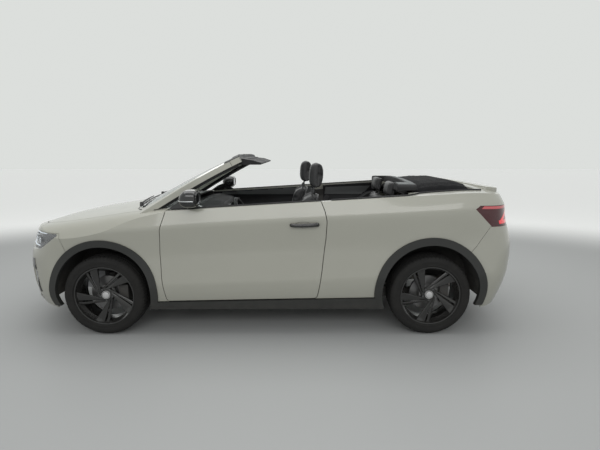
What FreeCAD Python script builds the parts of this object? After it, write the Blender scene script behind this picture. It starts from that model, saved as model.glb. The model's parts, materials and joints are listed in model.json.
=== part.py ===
"""Four-seat crossover convertible with its soft top folded down, one solid for each real piece.

Millimetres. X runs rearwards, Y to the car's right, Z up. The origin is on the ground under the
middle of the car. Body panels are cut from two smooth skins, the side skin and the bonnet or deck
skin, so that they meet at even shut gaps. The left side is modelled and the right side mirrored.
"""
import FreeCAD, Part
import math
import os
import Sketcher
from types import SimpleNamespace
from FreeCAD import Placement, Rotation, Vector

doc = FreeCAD.newDocument("Convertible")

# Driving dimensions: each cell is an alias and a plain number in millimetres, degrees or a count.
SIZES = {
    "Overall": {
        "overall_length": 4271, "wheelbase": 2630, "front_overhang": 831, "track": 1546,
        "shut_gap": 6, "seam": 3, "joint_gap": 0.3, "cut_over": 60, "corner": 30,
        "big_corner": 70, "small_corner": 10,
    },
    "Side skin": {
        "body_width": 1780, "floor_level": 120, "sill_height": 301, "sill_rise": 50,
        "low_crease_height": 449, "low_crease_rise": 85, "waist_height": 680, "waist_rise": 105,
        "rib_height": 812, "rib_rise": 131, "crease_height": 944, "crease_rise": 156,
        "crease_round": 12, "belt_height": 1066, "belt_rise": 157, "skin_top": 1320,
        "nose_corner": 500, "tail_corner": 400, "flare": 10,
    },
    "Bonnet and deck skins": {
        "bonnet_back_height": 1055, "bonnet_fall": 340, "bonnet_crown": 100, "bonnet_back": 580,
        "deck_start": 405, "deck_crown": 10, "deck_fall": 200,
    },
    "Panels": {
        "panel": 14, "bonnet_panel": 26, "lid_panel": 30, "bumper_panel": 16, "wall": 42,
        "trim_wall": 60, "trim_step": 12, "door_wall": 74, "door_trim": 44, "door_taper": 18,
        "cowl_panel": 14, "grille_recess": 12, "grille_depth": 26, "hinge_ahead": 20,
        "hinge_out": 5,
    },
    "Rear lid and soft top well": {
        "lid_start": 443, "lid_half": 630, "lid_foot": 716, "well_start": 2470, "well_end": 420,
        "well_half": 640,
    },
    "Arches and cladding": {
        "arch_centre_z": 358, "front_arch": 380, "rear_arch": 392, "front_arch_band": 56,
        "rear_arch_band": 62, "cladding_proud": 12, "cladding_depth": 24, "cladding_foot": 243,
        "sill_foot": 213, "liner": 5, "front_liner_in": 468, "rear_liner_in": 605,
        "liner_radius": 402, "liner_foot": 324, "liner_wall_foot": 500,
    },
    "Wheels": {
        "wheel_centre_z": 330, "tyre_radius": 330, "tyre_width": 215, "tread_width": 178,
        "bead_radius": 236, "rim_flange": 7, "rim_width": 196, "mount_face": 45, "hub_thick": 32,
        "hub_radius": 64, "hub_bore": 30, "spoke_thick": 26, "spoke_set": 14, "wide_edge": 128,
        "slit_edge": 146, "narrow_edge": 178, "wheel_turned": 18, "spokes": 5, "bolt_circle": 56, "bolt_hole": 7.5,
    },
    "Brakes and front suspension": {
        "disc_radius": 144, "disc_thick": 24, "disc_in": 52, "hat_radius": 78, "hat_wall": 8,
        "steer_offset": 80, "run_clear": 0.05, "caliper_length": 150, "caliper_wrap": 24,
        "caliper_depth": 48, "pad_gap": 2, "knuckle_radius": 50, "upright_radius": 22,
        "pin_radius": 12, "arm_drop": 140, "arm_thick": 26, "arm_width": 60, "strut_radius": 24,
        "strut_in": 81, "strut_top": 850, "disc_clear": 6,
    },
    "Underbody": {
        "floor_z": 206, "pan_thick": 20, "tunnel_half": 85, "tunnel_height": 134,
        "sill_in": 636, "sill_out": 735, "sill_top": 400, "bulkhead_back": 412,
        "riser_back": 2020, "rear_floor_z": 320, "boot_step_back": 2410,
        "boot_floor_z": 430, "boot_end": 620, "boot_half": 594, "rail_in": 385, "rail_out": 460,
        "rail_z": 420, "rail_height": 96, "pillar_thick": 64, "tray_z": 905, "tray_half": 632,
        "tower_half": 66, "tower_thick": 66, "apron": 12, "radiator_ahead": 650, "radiator_thick": 30,
        "radiator_half": 410, "radiator_z": 300, "radiator_top": 780, "crash_half": 590,
        "crash_z": 430, "crash_height": 90, "rear_rail_in": 400, "rear_rail_out": 470,
        "rear_rail_height": 56, "pillar_in": 700.3, "seal_thick": 14, "seal_lap": 30,
        "stop_radius": 12, "stop_y": 390,
    },
    "Windscreen": {
        "frame_thick": 44, "frame_trim": 28, "screen_bulge": 20, "glass_thick": 5,
        "glass_set": 3, "pillar_wide": 52, "header_wide": 46, "visor_length": 200,
        "visor_thick": 24, "visor_half": 560, "trim_inset": 8,
    },
    "Lamps": {"headlamp_depth": 60, "tail_lamp_depth": 38, "lamp_half": 420},
    "Seats": {
        "seat_y": 370, "seat_x": 1092, "seat_width": 510, "cushion_length": 500,
        "cushion_thick": 130, "seat_base_height": 90, "seat_back_thick": 112,
        "seat_back_height": 760, "seat_back_width": 480, "seat_lean": 13, "headrest_width": 280,
        "headrest_height": 200, "headrest_thick": 105, "headrest_tilt": 0, "seat_slid": 78, "headrest_lift": 52, "post_radius": 8,
        "post_spread": 70, "soft_edge": 36, "bench_x": 1950, "bench_half": 596,
        "bench_length": 420, "bench_thick": 140, "bench_back_height": 640,
        "bench_back_thick": 90, "bench_lean": 10, "rear_rest_ahead": 26, "rear_rest_y": 310, "rear_rest_height": 140,
        "rear_rest_thick": 90,
    },
    "Dashboard": {
        "dash_half": 700, "console_half": 105, "wheel_x": 1080, "wheel_z": 900, "wheel_y": 370,
        "wheel_ring": 176, "wheel_grip": 15, "wheel_tilt": 65, "wheel_hub": 62,
        "wheel_hub_thick": 46, "wheel_spoke_wide": 34, "wheel_spoke_thick": 18,
        "column_radius": 34, "column_gap": 6, "column_reach": 360,
    },
    "Soft top": {
        "soft_half": 634, "soft_height": 156, "soft_foot": 1095, "bow_half": 600, "bow_clear": 8,
    },
    "Spoiler and mirrors": {
        "spoiler_half": 560,
        "mirror_x": 653, "mirror_length": 180, "mirror_wide": 130, "mirror_height": 150,
        "mirror_round": 42, "mirror_out": 862, "mirror_z": 1046, "mirror_arm": 792,
        "sail_thick": 16,
        "handle_x": 1618, "handle_z": 912, "handle_length": 226, "handle_height": 30,
        "handle_out": 32, "handle_thick": 14,
    },
    "Drive and rear axle": {
        "engine_half": 366, "engine_length": 540, "engine_height": 520, "engine_ahead": 500,
        "subframe_z": 184, "subframe_thick": 50, "subframe_half": 460, "subframe_length": 360,
        "subframe_leg": 60, "beam_radius": 34, "beam_ahead": 270, "beam_z": 280,
        "trail_arm_in": 590, "trail_arm_ahead": 430, "trail_arm_high": 70,
        "spring_radius": 44, "spring_ahead": 150, "spring_y": 535, "pipe_radius": 24,
        "pipe_z": 214, "pipe_start": 200, "muffler_length": 290, "muffler_half": 260,
        "muffler_high": 130, "muffler_x": 335, "hanger": 12,
    },
}
# Cells worked out from the cells above.
DERIVED = {
    "bead_seat": "=bead_radius - joint_gap",
    "rim_radius": "=bead_radius + rim_flange",
    "hub_face": "=mount_face + hub_thick",
    "bolt_x": "=bolt_circle",
    "disc_inner_face": "=disc_in - mount_face + disc_thick / 2",
    "disc_outer_face": "=disc_in - mount_face - disc_thick / 2",
    "hat_face": "=mount_face - joint_gap",
    "hat_inner": "=hat_radius - hat_wall",
    "hat_plate": "=mount_face - joint_gap - hat_wall",
}

sheet = doc.addObject("Spreadsheet::Sheet", "sizes")
row = 1
for heading, group in {**SIZES, "Worked out": DERIVED}.items():
    sheet.set(f"A{row}", heading)
    row += 1
    for alias, value in group.items():
        sheet.set(f"A{row}", alias)
        sheet.set(f"B{row}", str(value))
        sheet.setAlias(f"B{row}", alias)
        row += 1
doc.recompute()
d = SimpleNamespace(**{a: float(sheet.get(a)) for g in (*SIZES.values(), DERIVED) for a in g})

nose_x = -d.overall_length / 2
tail_x = d.overall_length / 2
front_axle_x = nose_x + d.front_overhang
rear_axle_x = front_axle_x + d.wheelbase
rear_overhang = tail_x - rear_axle_x
half_track = d.track / 2
half_body = d.body_width / 2
far = half_body + d.cut_over
ends = (nose_x - d.cut_over, tail_x + d.cut_over)
nodes = {}


def add(label, shape):
    """A sub-part made with Part's own functions."""
    feature = doc.addObject("Part::Feature", label)
    feature.Shape = shape
    feature.Label = label
    nodes[label] = feature
    return feature


def mirrored(shape):
    return shape.mirror(Vector(0, 0, 0), Vector(0, 1, 0))


def both(shape):
    """The left piece and its mirror image."""
    return Part.Compound(list(shape.Solids) + list(mirrored(shape).Solids))


def largest(shape):
    """The main solid of a cut, without slivers."""
    return max(shape.Solids, key=lambda solid: solid.Volume)


# Places on the body: the share runs from -1 at the nose over 0 and 1 at the axles to 2 at the
# tail, sideways from 0 at the middle to 1 at the widest, and upwards from 0 to 1 at the belt.
def along(share):
    if share < 0:
        return front_axle_x + share * d.front_overhang
    if share > 1:
        return rear_axle_x + (share - 1) * rear_overhang
    return front_axle_x + share * d.wheelbase


def across(share):
    return share * half_body


def height(share):
    return share * d.belt_height


def side_points(shares):
    return [(along(a), height(b)) for a, b in shares]


def plan_points(shares):
    return [(along(a), across(b)) for a, b in shares]


def front_points(shares):
    return [(across(a), height(b)) for a, b in shares]


def two_sided(points):
    """A plan outline given for one side, closed with its mirror image."""
    return points + [(x, -y) for x, y in reversed(points) if abs(y) > d.joint_gap]


# Outlines and prisms.
def grown(points, by):
    """The same outline with each side moved outwards."""
    count = len(points)
    turns = (points[i - 1][0] * points[i][1] - points[i][0] * points[i - 1][1] for i in range(count))
    sign = 1 if sum(turns) > 0 else -1
    moved = []
    for i in range(count):
        before, here, after = (Vector(*points[(i + j) % count], 0) for j in (-1, 0, 1))
        one = (here - before).normalize()
        two = (after - here).normalize()
        normal = Vector(one.y, -one.x, 0) * sign
        middle = (normal + Vector(two.y, -two.x, 0) * sign).normalize()
        spot = here + middle * (by / middle.dot(normal))
        moved.append((spot.x, spot.y))
    return moved


def outline(points, radius, place):
    """Closed wire through points with rounded corners. place turns a flat point into a Vector."""
    count = len(points)
    corners = []
    for i, point in enumerate(points):
        here = Vector(*point, 0)
        back = Vector(*points[i - 1], 0) - here
        ahead = Vector(*points[(i + 1) % count], 0) - here
        half = back.getAngle(ahead) / 2
        reach = min(radius / math.tan(half), back.Length * 0.48, ahead.Length * 0.48)
        if reach < d.joint_gap:
            corners.append((here, None, here))
            continue
        back.normalize()
        ahead.normalize()
        round_to = reach * math.tan(half)
        inward = (back + ahead).normalize()
        middle = here + inward * (round_to / math.sin(half) - round_to)
        corners.append((here + back * reach, middle, here + ahead * reach))
    edges = []
    for i, (start, middle, end) in enumerate(corners):
        start, end = place(start.x, start.y), place(end.x, end.y)
        if middle is not None:
            edges.append(Part.Arc(start, place(middle.x, middle.y), end).toShape())
        following = corners[(i + 1) % count][0]
        edges.append(Part.makeLine(end, place(following.x, following.y)))
    return Part.Wire(edges)


def side_prism(points, y_from, y_to, radius=0):
    wire = outline(points, radius, lambda a, b: Vector(a, y_from, b))
    return Part.Face(wire).extrude(Vector(0, y_to - y_from, 0))


def plan_prism(points, z_from, z_to, radius=0):
    wire = outline(points, radius, lambda a, b: Vector(a, b, z_from))
    return Part.Face(wire).extrude(Vector(0, 0, z_to - z_from))


def front_prism(points, x_from, x_to, radius=0):
    wire = outline(points, radius, lambda a, b: Vector(x_from, a, b))
    return Part.Face(wire).extrude(Vector(x_to - x_from, 0, 0))


def block(x, y, z):
    """Box from three (low, high) pairs."""
    return Part.makeBox(x[1] - x[0], y[1] - y[0], z[1] - z[0], Vector(x[0], y[0], z[0]))


def rounded(x, y, z, radius):
    """Box from three pairs with every edge rounded."""
    box = block(x, y, z)
    return box.makeFillet(radius, box.Edges)


def rod(radius, start, end):
    return Part.makeCylinder(radius, (end - start).Length, start, end - start)


def fuse(shapes):
    return shapes[0].multiFuse(shapes[1:]).removeSplitter()


# Skins: B-spline faces from rows of control points, closed to solids.
degree = 3


def net_face(rows):
    def knots(count):
        spans = count - degree
        return list(range(spans + 1)), [degree + 1] + [1] * (spans - 1) + [degree + 1]

    row_knots, row_mults = knots(len(rows))
    column_knots, column_mults = knots(len(rows[0]))
    surface = Part.BSplineSurface()
    surface.buildFromPolesMultsKnots(
        rows, row_mults, column_mults, row_knots, column_knots, False, False, degree, degree
    )
    return surface.toShape()


def rising(level, rise, x):
    """Height of a body line at x: it rises evenly by rise over the wheelbase."""
    return level + rise * x / d.wheelbase


# Nose and tail corners in plan: shares of the corner's length and of the half width.
nose_corner_shares = [
    (0, 0), (0.015, 0.34), (0.17, 0.66), (0.45, 0.885), (0.76, 0.975), (1, 1),
]
tail_corner_shares = [(1, 1), (0.68, 0.99), (0.42, 0.93), (0.18, 0.74), (0.02, 0.36), (0, 0)]
# Columns along the side: place as a share of the wheelbase from the front axle, and flare share.
side_column_shares = [
    (0.00, 1.0), (0.17, -0.2), (0.34, -0.9), (0.52, -0.9), (0.69, -0.4), (0.85, 0.5), (1.00, 1.0),
]
# Levels: height, rise, shift by crease_round, width share, nose and tail set-back as shares of
# the front overhang, and how much of the flare reaches this level.
level_shares = [
    ("floor_level", None, 0, 0.900, 0.130, 0.150, 0.0),
    ("sill_height", "sill_rise", 0, 0.982, 0.030, 0.070, 0.2),
    ("low_crease_height", "low_crease_rise", -1, 0.998, 0.010, 0.026, 0.2),
    ("low_crease_height", "low_crease_rise", 1, 0.996, 0.006, 0.022, 0.2),
    ("waist_height", "waist_rise", 0, 0.968, -0.017, -0.014, 1.0),
    ("rib_height", "rib_rise", 0, 0.978, 0.030, 0.076, 1.0),
    ("crease_height", "crease_rise", -1, 0.992, 0.085, 0.100, 1.0),
    ("crease_height", "crease_rise", 1, 0.990, 0.095, 0.106, 0.9),
    ("belt_height", "belt_rise", 0, 0.940, 0.170, 0.170, 0.3),
    ("skin_top", None, 0, 0.860, 0.330, 0.290, 0.0),
]


def side_skin(inset):
    """Closed body form between floor_level and skin_top, moved inwards by inset."""
    rows = []
    for level, rise, shift, width, nose, tail, flared in level_shares:
        z = getattr(d, level) + shift * d.crease_round
        slope = getattr(d, rise) if rise else 0
        half = width * half_body - inset
        front = nose_x + nose * d.front_overhang + inset
        rear = tail_x - tail * d.front_overhang - inset
        spots = [(front + a * d.nose_corner, b * half) for a, b in nose_corner_shares]
        for share, flare in side_column_shares:
            spots.append((along(share), half + flare * flared * d.flare))
        spots += [(rear - a * d.tail_corner, b * half) for a, b in tail_corner_shares]
        rows.append([Vector(x, -y, rising(z, slope, x)) for x, y in spots])
    left = net_face(rows)
    right = mirrored(left)
    caps = []
    for level in (d.floor_level, d.skin_top):
        rims = [
            edge for face in (left, right) for edge in face.Edges
            if abs(edge.BoundBox.ZMax - level) + abs(edge.BoundBox.ZMin - level) < d.joint_gap
        ]
        caps.append(Part.Face(Part.Wire(rims)))
    shell = Part.Compound([left, right] + caps)
    shell.sewShape()
    return Part.Solid(shell.Shells[0])


def under_net(rows, depth):
    """Solid below a top face that is given for the left half, from the middle outwards."""
    whole = [[Vector(p.x, -p.y, p.z) for p in reversed(line)] + line[1:] for line in rows]
    return net_face(whole).extrude(Vector(0, 0, -depth))


# Bonnet skin: stations as shares of its length and of bonnet_fall, and how far the form has
# turned into that at the door. Columns as shares of the half body, with their drop at the front
# and at the back as shares of bonnet_crown.
bonnet_station_shares = [
    (0.000, 0.900, 0.0), (0.045, 0.710, 0.0), (0.095, 0.600, 0.0), (0.200, 0.465, 0.0),
    (0.358, 0.360, 0.0), (0.542, 0.245, 0.15), (0.727, 0.115, 0.45), (0.875, 0.040, 0.8),
    (1.000, 0.000, 1.0),
]
bonnet_column_shares = [
    (0.00, 0.00, 0.00), (0.33, 0.05, 0.03), (0.60, 0.13, 0.08), (0.78, 0.24, 0.14),
    (0.88, 0.42, 0.20), (0.96, 0.95, 0.31), (1.06, 2.70, 0.75),
]


def bonnet_block(inset):
    """Solid under the bonnet skin."""
    rows = []
    length = along(0) + d.bonnet_back - ends[0]
    for part, fall, turned in bonnet_station_shares:
        top = d.bonnet_back_height - fall * d.bonnet_fall - inset
        drops = [f * (1 - turned) + b * turned for _, f, b in bonnet_column_shares]
        spots = [across(column[0]) for column in bonnet_column_shares]
        x = ends[0] + part * length
        rows.append([Vector(x, y, top - s * d.bonnet_crown) for y, s in zip(spots, drops)])
    return under_net(rows, d.skin_top)


# Deck skin: stations as shares of its length, then the fall in the middle and at the side as
# shares of deck_fall. Columns as shares of the half body and of deck_crown.
deck_station_shares = [
    (0.000, 0.00, 0.00), (0.388, 0.00, 0.00), (0.630, 0.00, 0.00), (0.743, 0.00, 0.00),
    (0.840, 0.00, 0.01), (0.888, 0.03, 0.17), (0.921, 0.10, 0.45), (0.953, 0.34, 0.90),
    (0.982, 0.77, 1.40), (1.000, 1.10, 1.90),
]
deck_column_shares = [(0.00, 0.00), (0.40, 0.10), (0.70, 0.45), (0.94, 1.00), (1.06, 1.25)]


def deck_block(inset):
    """Solid under the deck skin, from the front of the doors to the tail."""
    rows = []
    start = along(0) + d.deck_start
    for part, middle, side in deck_station_shares:
        x = start + part * (ends[1] - start)
        edge = rising(d.belt_height, d.belt_rise, x) - inset
        line = []
        for column, drop in deck_column_shares:
            fall = middle * (1 - drop) + side * drop
            line.append(Vector(x, across(column), edge + d.deck_crown * (1 - drop) - fall * d.deck_fall))
        rows.append(line)
    return under_net(rows, d.skin_top)


kept = {}


def once(maker, inset):
    """Each skin is made once for an inset."""
    key = (maker.__name__, inset)
    if key not in kept:
        kept[key] = maker(inset)
    return kept[key]


def front_form(inset):
    """The body ahead of the doors, under the bonnet skin."""
    return once(side_skin, inset).common(once(bonnet_block, inset))


def rear_form(inset):
    """The body behind the front doors' front edge, under the deck skin."""
    return once(side_skin, inset).common(once(deck_block, inset))


def front_shell(outer, inner):
    return once(front_form, outer).cut(once(front_form, inner))


def rear_shell(outer, inner):
    return once(rear_form, outer).cut(once(rear_form, inner))


left_half = block(ends, (-far, 0), (0, d.skin_top))

# Zones: the outlines along which the skins are divided.
paint_foot = [
    (x, rising(d.sill_height, d.sill_rise, x)) for x in (along(0), along(1))
]


def below_paint(y_from, y_to, drop):
    """Everything under the painted panels, drop below their foot."""
    points = [(x, z - drop) for x, z in paint_foot]
    return side_prism([(along(0), 0)] + points + [(along(1), 0)], y_from, y_to)


# Door: its front edge from the belt down, then its rear edge from the foot up.
door_front_shares = [(0.207, 1.062), (0.195, 0.935), (0.183, 0.817), (0.178, 0.640), (0.181, 0.454)]
door_rear_shares = [(0.666, 0.506), (0.678, 0.751), (0.680, 0.880), (0.674, 0.962), (0.656, 1.088)]
door_foot_share = (0.192, 0.652)


def door_zone(grow):
    """The door's place, tapered inwards like a plug, with its sides moved out by grow."""
    foot = [(along(s), rising(d.sill_height, d.sill_rise, along(s))) for s in door_foot_share]
    points = side_points(door_front_shares) + foot + side_points(door_rear_shares)
    taper = d.door_taper / (d.door_wall + d.door_trim)
    wires = []
    for y in (-far, -half_body + d.door_wall + d.door_trim + d.cut_over):
        moved = grown(points, grow - taper * (y + half_body))
        wires.append(outline(moved, d.corner, lambda a, b: Vector(a, y, b)))
    return Part.makeLoft(wires, True, True)


bonnet_outline_shares = [
    (-0.915, 0), (-0.867, -0.225), (-0.783, -0.483), (-0.656, -0.674), (-0.464, -0.753),
    (-0.115, -0.787), (0.093, -0.811), (0.113, -0.818), (0.085, -0.697), (0.057, -0.393), (0.036, 0),
]


def bonnet_zone(grow):
    points = two_sided(plan_points(bonnet_outline_shares))
    return plan_prism(grown(points, grow), d.floor_z, d.skin_top, d.corner)


cowl_outline_shares = [(0.036, -0.674), (0.109, -0.775), (0.169, -0.837), (0.213, -0.837)]


def cowl_zone(grow):
    points = two_sided(plan_points(cowl_outline_shares))
    return plan_prism(grown(points, grow), d.sill_top, d.skin_top)


headlamp_outline_shares = [
    (-0.384, 0.782), (-0.642, 0.794), (-1.005, 0.773), (-1.005, 0.677), (-0.766, 0.647), (-0.608, 0.665),
]


def headlamp_zone(grow):
    points = grown(side_points(headlamp_outline_shares), grow)
    return side_prism(points, -far, grow - d.lamp_half, d.small_corner)


wing_outline_shares = [
    (-0.322, 0.563), (-0.326, 0.648), (-0.390, 0.788), (-0.630, 0.799), (-0.771, 1.126), (0.230, 1.126),
    (0.230, 0.113), (-0.115, 0.113),
]
tail_lamp_outline_shares = [
    (1.382, 0.973), (1.428, 0.999), (1.725, 0.997), (1.999, 1.001), (1.999, 0.837), (1.561, 0.841),
]
rear_bumper_outline_shares = [
    (1.357, 0.560), (1.367, 0.641), (1.422, 0.690), (1.548, 0.841), (1.999, 0.834), (1.999, 0.113),
    (0.990, 0.113),
]
under_line_shares = [
    (-0.999, 0.250), (-0.789, 0.236), (-0.500, 0.201), (0, 0.197), (1.000, 0.197), (1.512, 0.201),
    (1.999, 0.265),
]


def past_ends(points):
    """Points at the nose and the tail are moved out past the skin."""
    return [(ends[0] if x <= nose_x + d.seam else ends[1] if x >= tail_x - d.seam else x, z)
            for x, z in points]


def side_zone(shares, grow, to_y=0, radius=0):
    points = grown(past_ends(side_points(shares)), grow)
    return side_prism(points, -far, to_y, radius)


under_points = past_ends(side_points(under_line_shares))
below_body = side_prism([(ends[0], 0)] + under_points + [(ends[1], 0)], -far, far)


def lid_zone(grow):
    """The boot lid's place: the middle of the deck and of the tail."""
    foot, top, half = d.lid_foot, d.skin_top, d.lid_half
    points = grown([(-half, foot), (half, foot), (half, top), (-half, top)], grow)
    start = along(1) + d.lid_start - grow
    return front_prism(points, start, ends[1], d.big_corner)


def front_arch_rod(radius):
    start = Vector(along(0), -far, d.arch_centre_z)
    return rod(radius, start, start + Vector(0, far, 0))


def rear_arch_rod(radius):
    start = Vector(along(1), -far, d.arch_centre_z)
    return rod(radius, start, start + Vector(0, far, 0))


front_cut = front_arch_rod(d.front_arch + d.front_arch_band)
rear_cut = rear_arch_rod(d.rear_arch + d.rear_arch_band)
no_drop = below_paint(-far, far, 0)

# Front wings, one on each side.
wing = front_shell(0, d.panel).common(side_zone(wing_outline_shares, 0))
wing_cuts = [
    door_zone(d.shut_gap), bonnet_zone(d.shut_gap), cowl_zone(d.seam),
    headlamp_zone(d.joint_gap), front_cut, no_drop, below_body,
]
wing = largest(wing.cut(wing_cuts))
add("front_wing_left", wing)
add("front_wing_right", mirrored(wing))

# Bonnet.
bonnet = largest(front_shell(0, d.bonnet_panel).common(bonnet_zone(0)))
add("bonnet", bonnet)

# Cowl panel between the bonnet and the windscreen.
cowl = front_shell(0, d.cowl_panel).common(cowl_zone(0)).cut(bonnet_zone(d.shut_gap))
cowl = largest(cowl)
add("cowl", cowl)

# Openings in the front bumper: upper strip, lower intake and one slot at each corner.
strip_outline_shares = [(-0.463, 0.758), (-0.463, 0.671), (0.463, 0.671), (0.463, 0.758)]
intake_outline_shares = [(-0.674, 0.488), (-0.584, 0.249), (0.584, 0.249), (0.674, 0.488), (0.629, 0.529),
                         (-0.629, 0.529)]
slot_outline_shares = [(-0.751, 0.536), (-0.706, 0.461), (-0.674, 0.292), (-0.719, 0.257), (-0.888, 0.269),
                       (-0.888, 0.481)]


def grille_zone(shares, shrink):
    points = grown(front_points(shares), -shrink)
    return front_prism(points, ends[0], along(-0.62), d.small_corner)


openings = []
inserts = []
for shares in (strip_outline_shares, intake_outline_shares, slot_outline_shares):
    openings.append(grille_zone(shares, 0))
    inserts.append(grille_zone(shares, d.joint_gap))
openings.append(mirrored(openings[-1]))
inserts.append(mirrored(inserts[-1]))
grille_shell = front_shell(d.grille_recess, d.grille_recess + d.grille_depth)
grille_shell = grille_shell.cut(bonnet_zone(d.shut_gap))
grilles = [largest(grille_shell.common(zone)) for zone in inserts]
add("front_grilles", Part.Compound(grilles))

# Front bumper skin, around the lamps and the openings.
both_wings = [side_zone(wing_outline_shares, d.seam), mirrored(side_zone(wing_outline_shares, d.seam))]
both_lamps = [headlamp_zone(d.joint_gap), mirrored(headlamp_zone(d.joint_gap))]
front_end = block((ends[0], along(0)), (-far, far), (0, d.skin_top))
bumper = front_shell(0, d.bumper_panel).common(front_end)
bumper = bumper.cut(both_wings + both_lamps + openings + [bonnet_zone(d.shut_gap), below_body])
bumper = bumper.cut([front_cut, mirrored(front_cut)])
add("front_bumper", largest(bumper))

# Headlamps.
lamp_form = once(side_skin, 0).cut(once(side_skin, d.headlamp_depth)).common(once(bonnet_block, 0))
headlamp = largest(lamp_form.common(headlamp_zone(0)).cut(bonnet_zone(d.shut_gap)))
add("headlamps", both(headlamp))

# Doors with their inner trim.
door_form = once(side_skin, 0).cut(once(side_skin, d.door_wall)).common(once(deck_block, 0))
door = largest(door_form.common(door_zone(0)))
add("door_left", door)
add("door_right", mirrored(door))
trim_from = d.door_wall + d.joint_gap
trim_form = once(side_skin, trim_from).cut(once(side_skin, d.door_wall + d.door_trim))
trim_form = trim_form.common(once(deck_block, d.trim_step))
door_trim = largest(trim_form.common(door_zone(0)).common(left_half))
add("door_trim_left", door_trim)
add("door_trim_right", mirrored(door_trim))

# Rear quarters: side, shoulder and half of the deck, around the cabin and the soft top's well.
quarter_start = block((along(0.5), ends[1]), (-far, 0), (0, d.skin_top))
well_x = (along(0) + d.well_start, along(1) + d.well_end)
well = block(well_x, (-d.well_half, d.well_half), (d.sill_top, d.skin_top))
cabin = once(side_skin, d.wall).common(
    block((along(0.3), well_x[0] + d.seam), (-far, far), (d.sill_top, d.skin_top))
)
quarter = rear_shell(0, d.wall).common(quarter_start)
quarter = quarter.cut([
    door_zone(d.shut_gap), side_zone(rear_bumper_outline_shares, d.seam),
    side_zone(tail_lamp_outline_shares, d.joint_gap), lid_zone(d.shut_gap), well, cabin,
    rear_cut, no_drop, below_body,
])
quarter = largest(quarter)
add("rear_quarter_left", quarter)
add("rear_quarter_right", mirrored(quarter))

# Tail lamps on the quarters and on the lid.
lamp_shell = rear_shell(0, d.tail_lamp_depth)
tail_lamp = lamp_shell.common(side_zone(tail_lamp_outline_shares, 0)).cut(lid_zone(d.shut_gap))
add("tail_lamps", both(largest(tail_lamp)))
lid_lamp_outline_shares = [(-0.719, 0.994), (-0.388, 0.969), (-0.449, 0.845), (-0.719, 0.841)]


def lid_lamp_zone(grow):
    points = grown(front_points(lid_lamp_outline_shares), grow)
    return front_prism(points, along(1), ends[1], d.small_corner)


lid_lamp = largest(lamp_shell.common(lid_lamp_zone(0)).common(lid_zone(0)))
add("lid_lamps", both(lid_lamp))

# Boot lid.
lid_cut = [lid_lamp_zone(d.joint_gap), mirrored(lid_lamp_zone(d.joint_gap))]
lid = largest(rear_shell(0, d.lid_panel).common(lid_zone(0)).cut(lid_cut))
add("boot_lid", lid)

# Rear bumper with the dark lower panel.
lower_outline_shares = [(-0.674, 0.389), (-0.584, 0.219), (0.584, 0.219), (0.674, 0.389)]


def lower_zone(shrink):
    points = grown(front_points(lower_outline_shares), -shrink)
    return front_prism(points, along(1.4), ends[1], d.small_corner)


half_bumper = side_zone(rear_bumper_outline_shares, 0)
rear_bumper = rear_shell(0, d.bumper_panel).common(half_bumper.fuse(mirrored(half_bumper)))
rear_bumper = rear_bumper.cut([
    lid_zone(d.shut_gap), lower_zone(0), rear_cut, mirrored(rear_cut), below_body,
])
add("rear_bumper", largest(rear_bumper))
lower = rear_shell(d.grille_recess, d.grille_recess + d.grille_depth).common(lower_zone(d.joint_gap))
add("rear_lower_panel", largest(lower))

# Cladding round the arches and along the sill.
clad = once(side_skin, -d.cladding_proud).cut(once(side_skin, d.cladding_depth))
front_ring = front_arch_rod(d.front_arch + d.front_arch_band - d.joint_gap)
rear_ring = rear_arch_rod(d.rear_arch + d.rear_arch_band - d.joint_gap)
foot_cut = block(ends, (-far, far), (0, d.cladding_foot))
rings = front_ring.fuse(rear_ring).cut(foot_cut)
sill_top_cut = below_paint(-far, 0, d.shut_gap)
sill_strip = sill_top_cut.cut(block(ends, (-far, far), (0, d.sill_foot)))
openings = [front_arch_rod(d.front_arch), rear_arch_rod(d.rear_arch)]
cladding = clad.common(rings.fuse(sill_strip)).cut(openings)
cladding = largest(cladding.common(left_half))
add("cladding_left", cladding)
add("cladding_right", mirrored(cladding))


# Underbody: floor, sills, tunnel, bulkheads, pillars, rails, boot floor and strut towers.
bulkhead_x = along(0) + d.bulkhead_back
riser_x = along(0) + d.riser_back
step_x = along(0) + d.boot_step_back
boot_end_x = along(1) + d.boot_end
sill_end_x = along(1) - d.liner_radius - d.small_corner
floor_top = d.floor_z + d.pan_thick
tunnel_top = d.floor_z + d.tunnel_height
rear_floor_top = d.rear_floor_z + d.pan_thick
boot_floor_top = d.boot_floor_z + d.pan_thick
radiator_x = along(0) - d.radiator_ahead
strut_y = half_track - d.steer_offset - d.strut_in
tower_foot = d.strut_top - d.tower_thick


def pair(x, y, z):
    """The same box on the left and on the right."""
    return [block(x, (-y[1], -y[0]), z), block(x, y, z)]


def middle_block(x, half, z):
    return block(x, (-half, half), z)


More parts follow.
